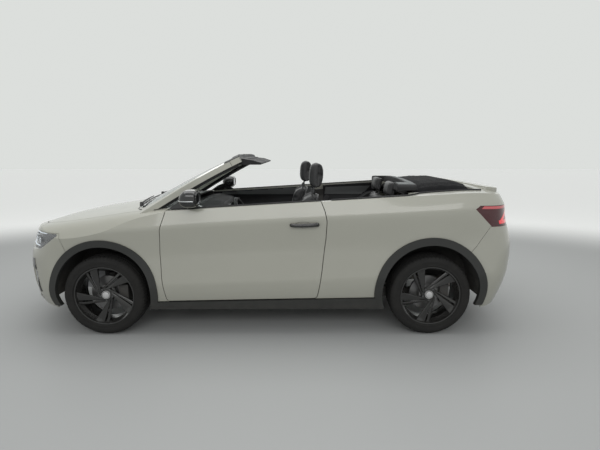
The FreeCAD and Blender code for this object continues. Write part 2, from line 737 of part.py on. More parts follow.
front_inner = once(front_form, d.panel + d.joint_gap)
rear_inner = once(rear_form, d.wall + d.joint_gap)
pillar_x = (bulkhead_x, along(0) + d.bonnet_back)
post_x = (along(door_foot_share[1]), along(door_rear_shares[2][0]) + d.pillar_thick)
pieces = [
    middle_block((bulkhead_x, riser_x), d.sill_out, (d.floor_z, floor_top)),
    middle_block((bulkhead_x, riser_x), d.tunnel_half, (d.floor_z, tunnel_top)),
    middle_block((riser_x, riser_x + d.pan_thick), d.sill_out, (d.floor_z, rear_floor_top)),
    middle_block((riser_x, sill_end_x), d.sill_out, (d.rear_floor_z, rear_floor_top)),
    middle_block((riser_x, step_x + d.pan_thick), d.boot_half, (d.rear_floor_z, rear_floor_top)),
    middle_block((step_x, step_x + d.pan_thick), d.boot_half, (d.rear_floor_z, boot_floor_top)),
    middle_block((step_x, boot_end_x), d.boot_half, (d.boot_floor_z, boot_floor_top)),
    middle_block((boot_end_x - d.pan_thick, boot_end_x), d.boot_half, (d.boot_floor_z, d.lid_foot)),
    middle_block((well_x[0], well_x[0] + d.pan_thick), d.boot_half, (d.boot_floor_z, d.tray_z)),
    middle_block((well_x[0], well_x[1]), d.tray_half, (d.tray_z - d.pan_thick, d.tray_z)),
    middle_block(
        (radiator_x, radiator_x + d.radiator_thick), d.radiator_half, (d.radiator_z, d.radiator_top)
    ),
]
pieces += pair((bulkhead_x, sill_end_x), (d.sill_in, d.sill_out), (d.floor_z, d.sill_top))
pieces += pair(
    (well_x[0], boot_end_x), (d.boot_half - d.pan_thick, d.boot_half), (d.boot_floor_z, d.tray_z)
)
pieces += pair((radiator_x, bulkhead_x), (d.rail_in, d.rail_out), (d.rail_z, d.rail_z + d.rail_height))
pieces += pair(
    (step_x, boot_end_x), (d.rear_rail_in, d.rear_rail_out),
    (d.boot_floor_z - d.rear_rail_height, boot_floor_top),
)
tower_x = (along(0) - d.tower_half, along(0) + d.tower_half)
pieces += pair(tower_x, (d.rail_out - d.apron, d.rail_out), (d.rail_z, d.strut_top + d.apron))
pieces += pair(
    tower_x, (d.rail_out - d.apron, strut_y + d.tower_half), (tower_foot, d.strut_top + d.apron)
)
above_floor = (d.floor_z, d.skin_top)
bulkhead = middle_block((bulkhead_x, bulkhead_x + d.pan_thick), d.sill_out, above_floor)
pillars = Part.Compound(pair(pillar_x, (d.pillar_in, far), above_floor)).cut(
    [door_zone(d.shut_gap), mirrored(door_zone(d.shut_gap))]
)
pieces += [bulkhead.common(front_inner), pillars.common(front_inner)]
posts = Part.Compound(pair(post_x, (d.sill_in, far), above_floor)).cut(
    [door_zone(d.shut_gap), mirrored(door_zone(d.shut_gap))]
)
seal_in = d.door_wall + d.door_trim + d.joint_gap
upper = (d.sill_top, d.skin_top)
post_inside = once(side_skin, seal_in + d.seal_thick).common(middle_block(ends, far, upper))
post_top = once(deck_block, d.wall + d.trim_step)
pieces.append(posts.common(rear_inner).common(post_top).cut(post_inside))
# The doors, the boot lid and the bonnet rest on flanges and stops of the underbody.
seal_x = (along(door_rear_shares[2][0]) - d.seal_lap - d.door_taper, post_x[1])
seals = Part.Compound(pair(seal_x, (d.sill_in, far), upper)).common(once(side_skin, seal_in))
pieces.append(seals.common(post_top).cut(post_inside))
lid_seal = middle_block(
    (boot_end_x - d.pan_thick, ends[1]), d.boot_half - d.corner,
    (d.lid_foot - d.pan_thick, d.lid_foot + d.seal_lap))
pieces.append(lid_seal.common(once(rear_form, d.lid_panel + d.joint_gap)))
bonnet_inside = once(front_form, d.bonnet_panel + d.joint_gap)
for y in (-d.stop_y, d.stop_y):
    stop_foot = Vector(radiator_x + d.radiator_thick / 2, y, d.radiator_top - d.seam)
    stop = rod(d.stop_radius, stop_foot, stop_foot + Vector(0, 0, d.skin_top - d.radiator_top))
    pieces.append(stop.common(bonnet_inside))
crash_z = (d.crash_z, d.crash_z + d.crash_height)
front_crash = middle_block((ends[0], radiator_x + d.radiator_thick), d.crash_half, crash_z)
behind_grille = d.grille_recess + d.grille_depth + d.joint_gap
pieces.append(front_crash.common(once(front_form, behind_grille)))
rear_crash = middle_block((boot_end_x - d.pan_thick, ends[1]), d.boot_half, crash_z)
pieces.append(rear_crash.common(once(rear_form, d.bumper_panel + d.joint_gap)))
underbody = fuse([solid for piece in pieces for solid in piece.Solids])
tunnel_hollow = middle_block(
    (bulkhead_x - d.cut_over, riser_x + d.pan_thick + d.seam), d.tunnel_half - d.pan_thick,
    (d.floor_z - d.cut_over, tunnel_top - d.pan_thick),
)
strut_holes = [
    rod(d.strut_radius + d.joint_gap, Vector(along(0), y, d.sill_top), Vector(along(0), y, d.strut_top))
    for y in (-strut_y, strut_y)
]
underbody = underbody.cut([tunnel_hollow] + strut_holes)
clad_inside = once(side_skin, d.cladding_depth + d.joint_gap)
clad_zone = Part.Compound([front_cut, rear_cut, mirrored(front_cut), mirrored(rear_cut), no_drop])
outside_clad = block(ends, (-far, far), (0, d.skin_top)).cut(clad_inside)
underbody = underbody.cut([solid.common(outside_clad) for solid in clad_zone.Solids])
add("underbody", largest(underbody))


# Wheel liners.
def liner(x, wall_y, inside):
    start, wide = Vector(x, -far, d.arch_centre_z), Vector(0, far - wall_y, 0)
    shell = rod(d.liner_radius, start, start + wide)
    shell = shell.cut(rod(d.liner_radius - d.liner, start, start + wide))
    shell = shell.cut(block(ends, (-far, 0), (0, d.liner_foot)))
    wall_start = Vector(x, -wall_y - d.liner, d.arch_centre_z)
    plate = rod(d.liner_radius, wall_start, wall_start + Vector(0, d.liner, 0))
    plate = plate.cut(block(ends, (-far, 0), (0, d.liner_wall_foot)))
    return largest(shell.fuse(plate).common(inside))


front_liner = liner(along(0), d.front_liner_in, clad_inside.common(once(bonnet_block, d.panel + d.seam)))
front_liner = front_liner.cut(rod(
    d.strut_radius + d.shut_gap, Vector(along(0), -strut_y, d.sill_top),
    Vector(along(0), -strut_y, d.strut_top),
))
rear_liner = liner(along(1), d.rear_liner_in, clad_inside)
add("wheel_liners", Part.Compound(both(front_liner).Solids + both(rear_liner).Solids))

# Inner trim of the rear quarters with the rest beside the rear seat.
quarter_trim = once(side_skin, d.wall + d.joint_gap).cut(once(side_skin, d.wall + d.trim_wall))
trim_x = (post_x[1] + d.joint_gap, well_x[0] - d.seam)
quarter_trim = quarter_trim.common(
    block(trim_x, (-far, 0), (d.sill_top, d.skin_top))).common(once(deck_block, d.trim_step))
rest_outline_shares = [(0.762, 0.525), (0.937, 0.525), (0.937, 0.972), (0.891, 0.944), (0.823, 0.818),
                       (0.777, 0.671)]
side_rest = side_prism(side_points(rest_outline_shares), -far, -d.bench_half - d.shut_gap, d.corner)
side_rest = side_rest.common(once(side_skin, d.wall + d.joint_gap))
quarter_trim = quarter_trim.fuse(side_rest.common(block(trim_x, (-far, 0), (0, d.skin_top))))
quarter_trim = quarter_trim.cut(rear_arch_rod(d.liner_radius + d.seam))
quarter_trim = largest(quarter_trim)
add("quarter_trims", both(quarter_trim))

# Windscreen: the frame's outer face runs up from a row below the cowl to the header. Each column
# has its foot and its head as places along, across and up the body.
screen_column_shares = [
    ((0.064, 0, 0.960), (0.383, 0, 1.358)),
    ((0.079, -0.360, 0.969), (0.389, -0.258, 1.359)),
    ((0.105, -0.674, 0.973), (0.398, -0.483, 1.357)),
    ((0.132, -0.826, 0.970), (0.406, -0.607, 1.354)),
    ((0.142, -0.882, 0.966), (0.410, -0.661, 1.346)),
]
screen_row_shares = [-0.12, 0.15, 0.5, 0.82, 1.0]
screen_foot = Vector(along(screen_column_shares[0][0][0]), 0, height(screen_column_shares[0][0][2]))
screen_head = Vector(along(screen_column_shares[0][1][0]), 0, height(screen_column_shares[0][1][2]))
rise = screen_head - screen_foot
outwards = Vector(-rise.z, 0, rise.x).normalize()


def screen_form(depth, thick):
    """A sheet parallel to the windscreen, depth inside its outer face."""
    rows = []
    for share in screen_row_shares:
        line = []
        for foot, head in screen_column_shares:
            low = Vector(along(foot[0]), across(foot[1]), height(foot[2]))
            high = Vector(along(head[0]), across(head[1]), height(head[2]))
            bulge = 4 * max(share, 0) * (1 - max(share, 0)) * d.screen_bulge
            line.append(low + (high - low) * share + outwards * (bulge - depth))
        rows.append([Vector(p.x, -p.y, p.z) for p in reversed(line)] + line[1:])
    return net_face(rows).extrude(outwards * -thick)


glass_outline_shares = [
    (0.044, 0), (0.059, -0.337), (0.083, -0.629), (0.114, -0.775), (0.161, -0.803),
    (0.265, -0.719), (0.383, -0.593), (0.377, -0.472), (0.369, -0.225), (0.364, 0),
]


def glass_zone(grow):
    points = grown(two_sided(plan_points(glass_outline_shares)), grow)
    return plan_prism(points, d.sill_top, d.overall_length, d.corner)


on_body = once(front_form, -d.joint_gap)
over_door = once(deck_block, -d.shut_gap - d.seam).common(
    middle_block((pillar_x[0], along(0.5)), far, (d.sill_top, d.skin_top)))
frame = screen_form(0, d.frame_thick).cut([glass_zone(0), on_body])
off_bonnet = bonnet_zone(d.shut_gap + d.seam)
frame = largest(frame.cut([over_door.cut(once(front_form, 0)), off_bonnet]))
add("windscreen_frame", frame)
glass = screen_form(d.glass_set, d.glass_thick).common(glass_zone(-d.joint_gap)).cut(on_body)
add("windscreen_glass", largest(glass))
trim_screen = screen_form(d.frame_thick + d.joint_gap, d.frame_trim)
visor_outline_shares = [
    (0.388, 1.305), (0.405, 1.330), (0.451, 1.318), (0.479, 1.295), (0.476, 1.284), (0.406, 1.284),
]
visor = side_prism(side_points(visor_outline_shares), -d.visor_half, d.visor_half, d.small_corner)
narrow = [(x, y * 0.985) for x, y in plan_points(
    [(0.040, -0.890), (0.131, -0.883), (0.406, -0.663), (0.406, 0.663), (0.131, 0.883), (0.040, 0.890)])]
screen_trim = trim_screen.common(plan_prism(narrow, d.sill_top, d.overall_length))
visor = visor.cut(screen_form(-d.cut_over, d.cut_over + d.frame_thick + d.joint_gap))
screen_trim = screen_trim.cut(glass_zone(d.trim_inset)).fuse(visor)
screen_trim = screen_trim.cut([on_body, over_door, off_bonnet])
add("windscreen_trim", largest(screen_trim))

# Dashboard with centre console and steering column.
dash_outline_shares = [
    (0.164, 0.563), (0.164, 0.912), (0.203, 0.927), (0.253, 0.942), (0.310, 0.908), (0.329, 0.849),
    (0.326, 0.797), (0.283, 0.713), (0.260, 0.600), (0.230, 0.553),
]
console_outline_shares = [
    (0.215, 0.300), (0.215, 0.619), (0.283, 0.600), (0.371, 0.474), (0.454, 0.462), (0.511, 0.525),
    (0.587, 0.531), (0.604, 0.488), (0.604, 0.300),
]
dash = side_prism(side_points(dash_outline_shares), -d.dash_half, d.dash_half, d.corner)
console = side_prism(
    side_points(console_outline_shares), -d.console_half, d.console_half, d.corner
)
steer = Vector(along(0) + d.wheel_x, -d.wheel_y, d.wheel_z)
axis = Vector(math.sin(math.radians(d.wheel_tilt)), 0, math.cos(math.radians(d.wheel_tilt)))
column_face = steer - axis * (d.wheel_hub_thick / 2 + d.column_gap)
column = rod(d.column_radius, column_face, steer - axis * d.column_reach)
dash = fuse([dash, console, column])
keep_clear = [
    middle_block((ends[0], bulkhead_x + d.pan_thick + d.joint_gap), far, (0, d.skin_top)),
    middle_block(ends, far, (0, tunnel_top + d.joint_gap)),
    rod(d.pin_radius + d.run_clear, steer, steer - axis * d.wheel_ring),
]
add("dashboard", largest(dash.cut(keep_clear)))


# Steering wheel, in its own frame with the ring round Z.
def bound(kind, label, sizes, placement=None):
    """A Part primitive whose sizes follow the sheet."""
    piece = doc.addObject(kind, label)
    for name, cell in sizes.items():
        piece.setExpression(name, cell)
    if placement is not None:
        piece.Placement = placement
    return piece


tilted = Placement(steer, Rotation(Vector(0, 0, 1), axis))
ring = bound("Part::Torus", "steering_ring", {
    "Radius1": "sizes.wheel_ring", "Radius2": "sizes.wheel_grip"}, tilted)
hub = bound("Part::Cylinder", "steering_hub", {
    "Radius": "sizes.wheel_hub", "Height": "sizes.wheel_hub_thick"},
    tilted * Placement(Vector(0, 0, -d.wheel_hub_thick / 2), Rotation()))
shaft = bound("Part::Cylinder", "steering_shaft", {
    "Radius": "sizes.pin_radius", "Height": "sizes.wheel_ring / 2"},
    tilted * Placement(Vector(0, 0, -d.wheel_ring / 2), Rotation()))
wheel_parts = [ring, hub, shaft]
for number, turn in enumerate((0, 90, 180)):
    turned = tilted * Placement(Vector(), Rotation(Vector(0, 0, 1), turn - 90))
    wheel_parts.append(bound("Part::Box", f"steering_spoke_{number}", {
        "Length": "sizes.wheel_ring", "Width": "sizes.wheel_spoke_wide",
        "Height": "sizes.wheel_spoke_thick"},
        turned * Placement(Vector(0, -d.wheel_spoke_wide / 2, -d.wheel_spoke_thick / 2), Rotation())))
steering_wheel = doc.addObject("Part::MultiFuse", "steering_wheel")
steering_wheel.Shapes = wheel_parts
nodes["steering_wheel"] = steering_wheel

# Engine.
engine = bound("Part::Box", "engine", {
    "Length": "sizes.engine_length", "Width": "2 * sizes.engine_half",
    "Height": "sizes.engine_height"},
    Placement(Vector(along(0) - d.engine_ahead, -d.engine_half,
                     d.subframe_z + d.subframe_thick + d.joint_gap), Rotation()))
nodes["engine"] = engine


# Seats.
def tilted_box(x, half, z, angle, radius, mid_y=0):
    """Rounded box leaning back about its foot."""
    box = rounded(x, (mid_y - half, mid_y + half), z, radius)
    pivot = Vector((x[0] + x[1]) / 2, mid_y, z[0])
    box.rotate(pivot, Vector(0, 1, 0), angle)
    return box


def leaning(pivot, angle, rise, ahead=0):
    """Point that lies rise up a leaning back and ahead of its middle plane."""
    lean = math.radians(angle)
    return pivot + Vector(
        rise * math.sin(lean) - ahead * math.cos(lean), 0,
        rise * math.cos(lean) + ahead * math.sin(lean))


def headrest(pivot, angle, back_height, size, posts, ahead=0, tilt=None):
    """Headrest with its two posts, on a leaning back."""
    thick, wide, high = size
    foot = leaning(pivot, angle, back_height + posts, ahead)
    rest = tilted_box(
        (foot.x - thick / 2, foot.x + thick / 2), wide / 2, (foot.z, foot.z + high),
        angle if tilt is None else tilt, d.soft_edge, pivot.y)
    shapes = [rest]
    for side in (-d.post_spread, d.post_spread):
        low = leaning(pivot, angle, back_height - d.headrest_height / 2) + Vector(0, side, 0)
        high_end = leaning(pivot, angle, back_height + posts + high / 2) + Vector(0, side, 0)
        shapes.append(rod(d.post_radius, low, high_end))
    return shapes


seat_front = along(0) + d.seat_x
seat_foot = floor_top + d.joint_gap
cushion_foot = seat_foot + d.seat_base_height
seat_parts = [
    block((seat_front + d.cladding_depth * 2, seat_front + d.cushion_length - d.corner),
          (-d.seat_y - d.seat_width * 0.36, -d.seat_y + d.seat_width * 0.36),
          (seat_foot, cushion_foot + d.soft_edge)),
    rounded((seat_front, seat_front + d.cushion_length),
            (-d.seat_y - d.seat_width / 2, -d.seat_y + d.seat_width / 2),
            (cushion_foot, cushion_foot + d.cushion_thick), d.soft_edge),
]
seat_pivot = Vector(
    seat_front + d.cushion_length - d.seat_back_thick * 0.6, -d.seat_y, cushion_foot + d.soft_edge * 2)
seat_parts.append(tilted_box(
    (seat_pivot.x - d.seat_back_thick / 2, seat_pivot.x + d.seat_back_thick / 2),
    d.seat_back_width / 2, (seat_pivot.z, seat_pivot.z + d.seat_back_height), d.seat_lean,
    d.soft_edge, -d.seat_y))
seat_parts += headrest(
    seat_pivot, d.seat_lean, d.seat_back_height,
    (d.headrest_thick, d.headrest_width, d.headrest_height), d.headrest_lift, 0, d.headrest_tilt)
front_seat = fuse(seat_parts)
add("front_seat_left", front_seat)
add("front_seat_right", mirrored(front_seat).translated(Vector(-d.seat_slid, 0, 0)))

bench_front = along(0) + d.bench_x
bench_foot = rear_floor_top + d.joint_gap
bench_pivot = Vector(
    bench_front + d.bench_length - d.bench_back_thick * 0.7, 0, bench_foot + d.bench_thick * 0.7)
bench_parts = [
    rounded((bench_front, bench_front + d.bench_length), (-d.bench_half, d.bench_half),
            (bench_foot, bench_foot + d.bench_thick), d.soft_edge),
    tilted_box((bench_pivot.x - d.bench_back_thick / 2, bench_pivot.x + d.bench_back_thick / 2),
               d.bench_half, (bench_pivot.z, bench_pivot.z + d.bench_back_height), d.bench_lean,
               d.soft_edge),
]
for side in (-d.rear_rest_y, d.rear_rest_y):
    bench_parts += headrest(
        bench_pivot + Vector(0, side, 0), d.bench_lean, d.bench_back_height,
        (d.rear_rest_thick, d.headrest_width, d.rear_rest_height), d.joint_gap, d.rear_rest_ahead)
add("rear_seat", fuse(bench_parts))

# Folded soft top: stations with their place along and their rise, columns with their drop.
soft_station_shares = [
    (0, 0.30), (0.10, 0.48), (0.22, 0.84), (0.42, 0.95), (0.65, 1.00), (0.84, 0.98), (0.97, 0.80),
    (1, 0.10),
]
soft_column_shares = [(0, 0), (0.40, 0), (0.72, 0.06), (0.88, 0.20), (0.97, 0.55), (1, 1)]
soft_x = (well_x[0] + d.shut_gap, well_x[1] - d.shut_gap)
soft_rows = []
for part, lift in soft_station_shares:
    x = soft_x[0] + part * (soft_x[1] - soft_x[0])
    soft_rows.append([
        Vector(x, column * d.soft_half, d.soft_foot + lift * (1 - drop) * d.soft_height)
        for column, drop in soft_column_shares])
soft_top = under_net(soft_rows, d.tray_z)
soft_top = soft_top.common(middle_block(ends, far, (d.tray_z + d.joint_gap, d.overall_length)))
soft_top = largest(soft_top)
add("soft_top", soft_top)

# Front section of the folded roof, which lies over the soft top with a notch for the headrests.
bow_outline_shares = [(0.909, 1.079), (0.909, 1.152), (0.971, 1.152), (0.971, 1.090)]
notch_plan_shares = [(0.838, -0.539), (0.947, -0.511), (0.947, 0.511), (0.838, 0.539)]
bow_front_shares = [
    (-0.674, 1.051), (-0.674, 1.131), (-0.449, 1.144), (-0.169, 1.152), (0.169, 1.152), (0.449, 1.144),
    (0.674, 1.131), (0.674, 1.051),
]
bow = side_prism(side_points(bow_outline_shares), -d.bow_half, d.bow_half, d.small_corner)
bow = bow.common(front_prism(front_points(bow_front_shares), 0, ends[1], d.corner))
notch = plan_prism(plan_points(notch_plan_shares), d.sill_top, d.overall_length, d.corner)
lifted = soft_top.translated(Vector(0, 0, d.joint_gap))
under_bow = once(deck_block, -d.bow_clear)
add("roof_front_section", largest(bow.cut([notch, lifted, under_bow])))

# Spoiler on the boot lid.
spoiler_outline_shares = [
    (1.648, 1.032), (1.648, 1.113), (1.704, 1.107), (1.882, 1.091), (1.912, 1.083), (1.904, 1.072),
    (1.845, 1.068), (1.820, 1.026),
]
spoiler_plan_shares = [
    (1.561, -0.629), (1.709, -0.629), (1.777, -0.590), (1.836, -0.472), (1.885, -0.270), (1.910, 0),
]
spoiler = side_prism(side_points(spoiler_outline_shares), -d.spoiler_half, d.spoiler_half, d.seam)
spoiler_plan = plan_prism(two_sided(plan_points(spoiler_plan_shares)), 0, d.overall_length, d.seam)
spoiler = spoiler.common(spoiler_plan)
add("spoiler", largest(spoiler.cut(once(rear_form, -d.joint_gap))))

# Mirror with its arm and sail, and the door handle.
mirror_x = along(0) + d.mirror_x
door_surface = once(side_skin, -d.joint_gap).common(once(deck_block, -d.joint_gap))
mirror_shell = rounded(
    (mirror_x, mirror_x + d.mirror_length), (-d.mirror_out - d.mirror_wide, -d.mirror_out),
    (d.mirror_z, d.mirror_z + d.mirror_height), d.mirror_round)
arm_outline_shares = [(0.240, 0.953), (0.250, 1.013), (0.279, 1.013), (0.282, 0.953)]
arm = side_prism(side_points(arm_outline_shares), -d.mirror_out - d.mirror_round, -d.mirror_arm,
                 d.small_corner)
sail_outline_shares = [(0.207, 0.950), (0.209, 0.973), (0.245, 1.022), (0.284, 0.979), (0.287, 0.950)]
sail = side_prism(side_points(sail_outline_shares), -d.mirror_arm - d.sail_thick, -d.mirror_arm,
                  d.seam)
mirror = largest(fuse([mirror_shell, arm, sail]).cut(door_surface))
handle_x = along(0) + d.handle_x
handle_z = (d.handle_z - d.handle_height / 2, d.handle_z + d.handle_height / 2)
handle_out = half_body + d.handle_out
handle = rounded(
    (handle_x - d.handle_length / 2, handle_x + d.handle_length / 2),
    (-handle_out, -half_body + d.cladding_depth * 2), handle_z, d.handle_thick * 0.45)
grip_gap = block(
    (handle_x - d.handle_length * 0.36, handle_x + d.handle_length * 0.36),
    (-handle_out + d.handle_thick, 0), (0, d.skin_top))
handle = handle.cut(door_surface).cut(grip_gap)
add("door_fittings_left", Part.Compound([mirror] + handle.Solids))
add("door_fittings_right", mirrored(Part.Compound([mirror] + handle.Solids)))


# Wheels: profiles are turned round the axle, which is the sketch's upright axis. Each point is a
# cell and a share of it for the radius, then a cell and a share of it along the axle.
tyre_half_shares = [
    ("tyre_radius", 1.000, "tread_width", 0.38), ("tyre_radius", 0.988, "tread_width", 0.49),
    ("tyre_radius", 0.962, "tyre_width", 0.462), ("tyre_radius", 0.905, "tyre_width", 0.490),
    ("tyre_radius", 0.850, "tyre_width", 0.500), ("bead_radius", 1.100, "tyre_width", 0.490),
    ("bead_radius", 1.045, "tyre_width", 0.455), ("bead_radius", 1.040, "rim_width", 0.465),
    ("bead_radius", 1.000, "rim_width", 0.465), ("bead_radius", 1.000, "rim_width", 0.395),
    ("bead_radius", 1.080, "tyre_width", 0.415), ("tyre_radius", 0.870, "tyre_width", 0.445),
    ("tyre_radius", 0.925, "tread_width", 0.46), ("tyre_radius", 0.955, "tread_width", 0.36),
]
barrel_shares = [
    ("rim_radius", 1.000, "rim_width", -0.500), ("rim_radius", 1.000, "rim_width", -0.475),
    ("bead_seat", 1.000, "rim_width", -0.475), ("bead_seat", 1.000, "rim_width", -0.380),
    ("bead_seat", 0.925, "rim_width", -0.300), ("bead_seat", 0.925, "rim_width", 0.150),
    ("bead_seat", 1.000, "rim_width", 0.380), ("bead_seat", 1.000, "rim_width", 0.475),
    ("rim_radius", 1.000, "rim_width", 0.475), ("rim_radius", 1.000, "rim_width", 0.500),
    ("bead_seat", 0.965, "rim_width", 0.500), ("bead_seat", 0.965, "rim_width", 0.390),
    ("bead_seat", 0.893, "rim_width", 0.160), ("bead_seat", 0.893, "rim_width", -0.310),
    ("bead_seat", 0.965, "rim_width", -0.390), ("bead_seat", 0.965, "rim_width", -0.500),
]
hub_shares = [
    ("hub_bore", 1, "mount_face", -1), ("hub_radius", 1, "mount_face", -1),
    ("hub_radius", 0.94, "hub_face", -1), ("hub_bore", 1, "hub_face", -1),
]
trim_ring_shares = [
    ("bead_seat", 0.975, "rim_width", -1), ("rim_radius", 2, "rim_width", -1),
    ("rim_radius", 2, "rim_width", 1), ("bead_seat", 0.975, "rim_width", 1),
]
wide_blade_shares = [
    ("hub_radius", 0.16, "hub_radius", 0.62), ("bead_seat", 1.03, "hub_radius", 0.73),
    ("bead_seat", 1.03, "wide_edge", 1.0), ("hub_radius", 0.16, "hub_radius", 0.80),
]
narrow_blade_shares = [
    ("hub_radius", -0.16, "hub_radius", 0.74), ("bead_seat", 1.03, "slit_edge", 1.0),
    ("bead_seat", 1.03, "narrow_edge", 1.0), ("hub_radius", -0.10, "hub_radius", 0.96),
]
disc_shares = [
    ("hub_bore", 1, "hat_face", -1), ("hat_radius", 1, "hat_face", -1),
    ("hat_radius", 1, "disc_outer_face", 1), ("disc_radius", 1, "disc_outer_face", 1),
    ("disc_radius", 1, "disc_inner_face", 1), ("hat_inner", 1, "disc_inner_face", 1),
    ("hat_inner", 1, "hat_plate", -1), ("hub_bore", 1, "hat_plate", -1),
]


def flipped(shares):
    return [(a, b, c, -e) for a, b, c, e in reversed(shares)]


def draw(sketch, shares):
    """Closed polygon in a sketch, each corner tied to cells of the sheet."""
    first = sketch.GeometryCount
    count = len(shares)
    spots = [Vector(getattr(d, a) * b, getattr(d, c) * e, 0) for a, b, c, e in shares]
    for i, spot in enumerate(spots):
        sketch.addGeometry(Part.LineSegment(spot, spots[(i + 1) % count]))
    for i in range(count):
        following = first + (i + 1) % count
        sketch.addConstraint(Sketcher.Constraint("Coincident", first + i, 2, following, 1))
    for i, (a, b, c, e) in enumerate(shares):
        for kind, value, cell, share in (
            ("DistanceX", spots[i].x, a, b), ("DistanceY", spots[i].y, c, e)
        ):
            number = sketch.addConstraint(Sketcher.Constraint(kind, first + i, 1, value))
            sketch.setExpression(f"Constraints[{number}]", f"{share} * sizes.{cell}")


def new_sketch(body, label, plane):
    sketch = body.newObject("Sketcher::SketchObject", label)
    sketch.AttachmentSupport = [(next(f for f in body.Origin.OriginFeatures if f.Role == plane), "")]
    sketch.MapMode = "FlatFace"
    return sketch


def turned(body, label, shares, kind="PartDesign::Revolution"):
    """A profile turned all the way round the axle, added or taken away."""
    sketch = new_sketch(body, label + "_profile", "XY_Plane")
    draw(sketch, shares)
    feature = body.newObject(kind, label)
    feature.Profile = sketch
    feature.ReferenceAxis = (sketch, ["V_Axis"])
    return feature


def pattern(body, label, features, count_cell):
    """The features repeated round the axle."""
    polar = body.newObject("PartDesign::PolarPattern", label)
    polar.Originals = features
    axis_y = next(f for f in body.Origin.OriginFeatures if f.Role == "Y_Axis")
    polar.Axis = (axis_y, [""])
    polar.Angle = 360
    polar.setExpression("Occurrences", f"sizes.{count_cell}")
    body.Tip = polar
    return polar


def bolt_holes(body, label, reach_cell):
    """Holes for the wheel bolts through hub or hat."""
    sketch = new_sketch(body, label + "_circle", "XZ_Plane")
    sketch.addGeometry(Part.Circle(Vector(d.bolt_x, 0, 0), Vector(0, 0, 1), d.bolt_hole))
    across_number = sketch.addConstraint(Sketcher.Constraint("DistanceX", 0, 3, d.bolt_x))
    sketch.setExpression(f"Constraints[{across_number}]", "sizes.bolt_x")
    sketch.addConstraint(Sketcher.Constraint("PointOnObject", 0, 3, -1))
    radius_number = sketch.addConstraint(Sketcher.Constraint("Radius", 0, d.bolt_hole))
    sketch.setExpression(f"Constraints[{radius_number}]", "sizes.bolt_hole")
    pocket = body.newObject("PartDesign::Pocket", label)
    pocket.Profile = sketch
    pocket.Midplane = True
    pocket.setExpression("Length", f"4 * sizes.{reach_cell}")
    return pattern(body, label + "_ring", [pocket], "spokes")


def placed(body, x, side):
    """Wheel parts stand at an axle's end, their outer face to the left or to the right."""
    turn = 0 if side < 0 else 180
    body.Placement = Placement(
        Vector(x, side * half_track, d.wheel_centre_z),
        Rotation(Vector(0, 0, 1), turn) * Rotation(Vector(0, -1, 0), d.wheel_turned))
    nodes[body.Name] = body


corners = {
    "front_left": (along(0), -1), "front_right": (along(0), 1),
    "rear_left": (along(1), -1), "rear_right": (along(1), 1),
}
for corner_name, (axle_x, side) in corners.items():
    tyre = doc.addObject("PartDesign::Body", f"tyre_{corner_name}")
    turned(tyre, f"tyre_turn_{corner_name}", tyre_half_shares + flipped(tyre_half_shares))
    placed(tyre, axle_x, side)

    rim = doc.addObject("PartDesign::Body", f"rim_{corner_name}")
    turned(rim, f"hub_turn_{corner_name}", hub_shares)
    blades = new_sketch(rim, f"blade_profile_{corner_name}", "XZ_Plane")
    draw(blades, wide_blade_shares)
    draw(blades, narrow_blade_shares)
    blades.AttachmentOffset = Placement(Vector(0, 0, d.mount_face + d.spoke_set), Rotation())
    pad = rim.newObject("PartDesign::Pad", f"blades_{corner_name}")
    pad.Profile = blades
    pad.setExpression("Length", "sizes.spoke_thick")
    pattern(rim, f"blade_ring_{corner_name}", [pad], "spokes")
    turned(rim, f"rim_trim_{corner_name}", trim_ring_shares, "PartDesign::Groove")
    turned(rim, f"barrel_turn_{corner_name}", barrel_shares)
    bolt_holes(rim, f"rim_bolts_{corner_name}", "hub_face")
    placed(rim, axle_x, side)

    disc = doc.addObject("PartDesign::Body", f"brake_disc_{corner_name}")
    turned(disc, f"disc_turn_{corner_name}", disc_shares)
    bolt_holes(disc, f"disc_bolts_{corner_name}", "hat_face")
    placed(disc, axle_x, side)


# Carriers: hub carrier with stub axle and brake caliper, at the left end of an axle.
def wheel_spot(x, inwards, z=0):
    """A place given from the wheel's centre, inwards along the axle."""
    return Vector(x, -half_track + inwards, d.wheel_centre_z + z)


def carrier(x, reach):
    hub_start = d.disc_inner_face + d.disc_clear
    stub_end = d.disc_clear - d.hub_face
    caliper_in = d.disc_inner_face + d.pad_gap + d.caliper_wrap
    caliper_out = d.disc_outer_face - d.pad_gap - d.caliper_wrap
    caliper_x = (x + d.disc_radius - d.caliper_depth, x + d.disc_radius + d.caliper_wrap)
    half_length = d.caliper_length / 2
    caliper = block(
        caliper_x, (-half_track + caliper_out, -half_track + caliper_in),
        (d.wheel_centre_z - half_length, d.wheel_centre_z + half_length))
    slot = rod(
        d.disc_radius + d.disc_clear, wheel_spot(x, d.disc_outer_face - d.pad_gap),
        wheel_spot(x, d.disc_inner_face + d.pad_gap))
    bracket = block(
        (x, caliper_x[1]), (-half_track + hub_start, -half_track + caliper_in),
        (d.wheel_centre_z - d.knuckle_radius, d.wheel_centre_z + d.knuckle_radius))
    return [
        rod(d.knuckle_radius, wheel_spot(x, hub_start), wheel_spot(x, reach)),
        rod(d.hub_bore - d.run_clear, wheel_spot(x, stub_end), wheel_spot(x, hub_start)),
        caliper.cut(slot), bracket,
    ]


upright_half = d.arm_drop - d.arm_thick / 2 - d.joint_gap
knuckle = fuse(carrier(along(0), d.steer_offset + d.upright_radius) + [
    rod(d.upright_radius, wheel_spot(along(0), d.steer_offset, -upright_half),
        wheel_spot(along(0), d.steer_offset, upright_half)),
    rod(d.pin_radius, wheel_spot(along(0), d.steer_offset, -d.arm_drop - d.arm_thick / 2),
        wheel_spot(along(0), d.steer_offset, d.arm_drop + d.arm_thick / 2)),
])
add("knuckle_left", knuckle)
add("knuckle_right", mirrored(knuckle))

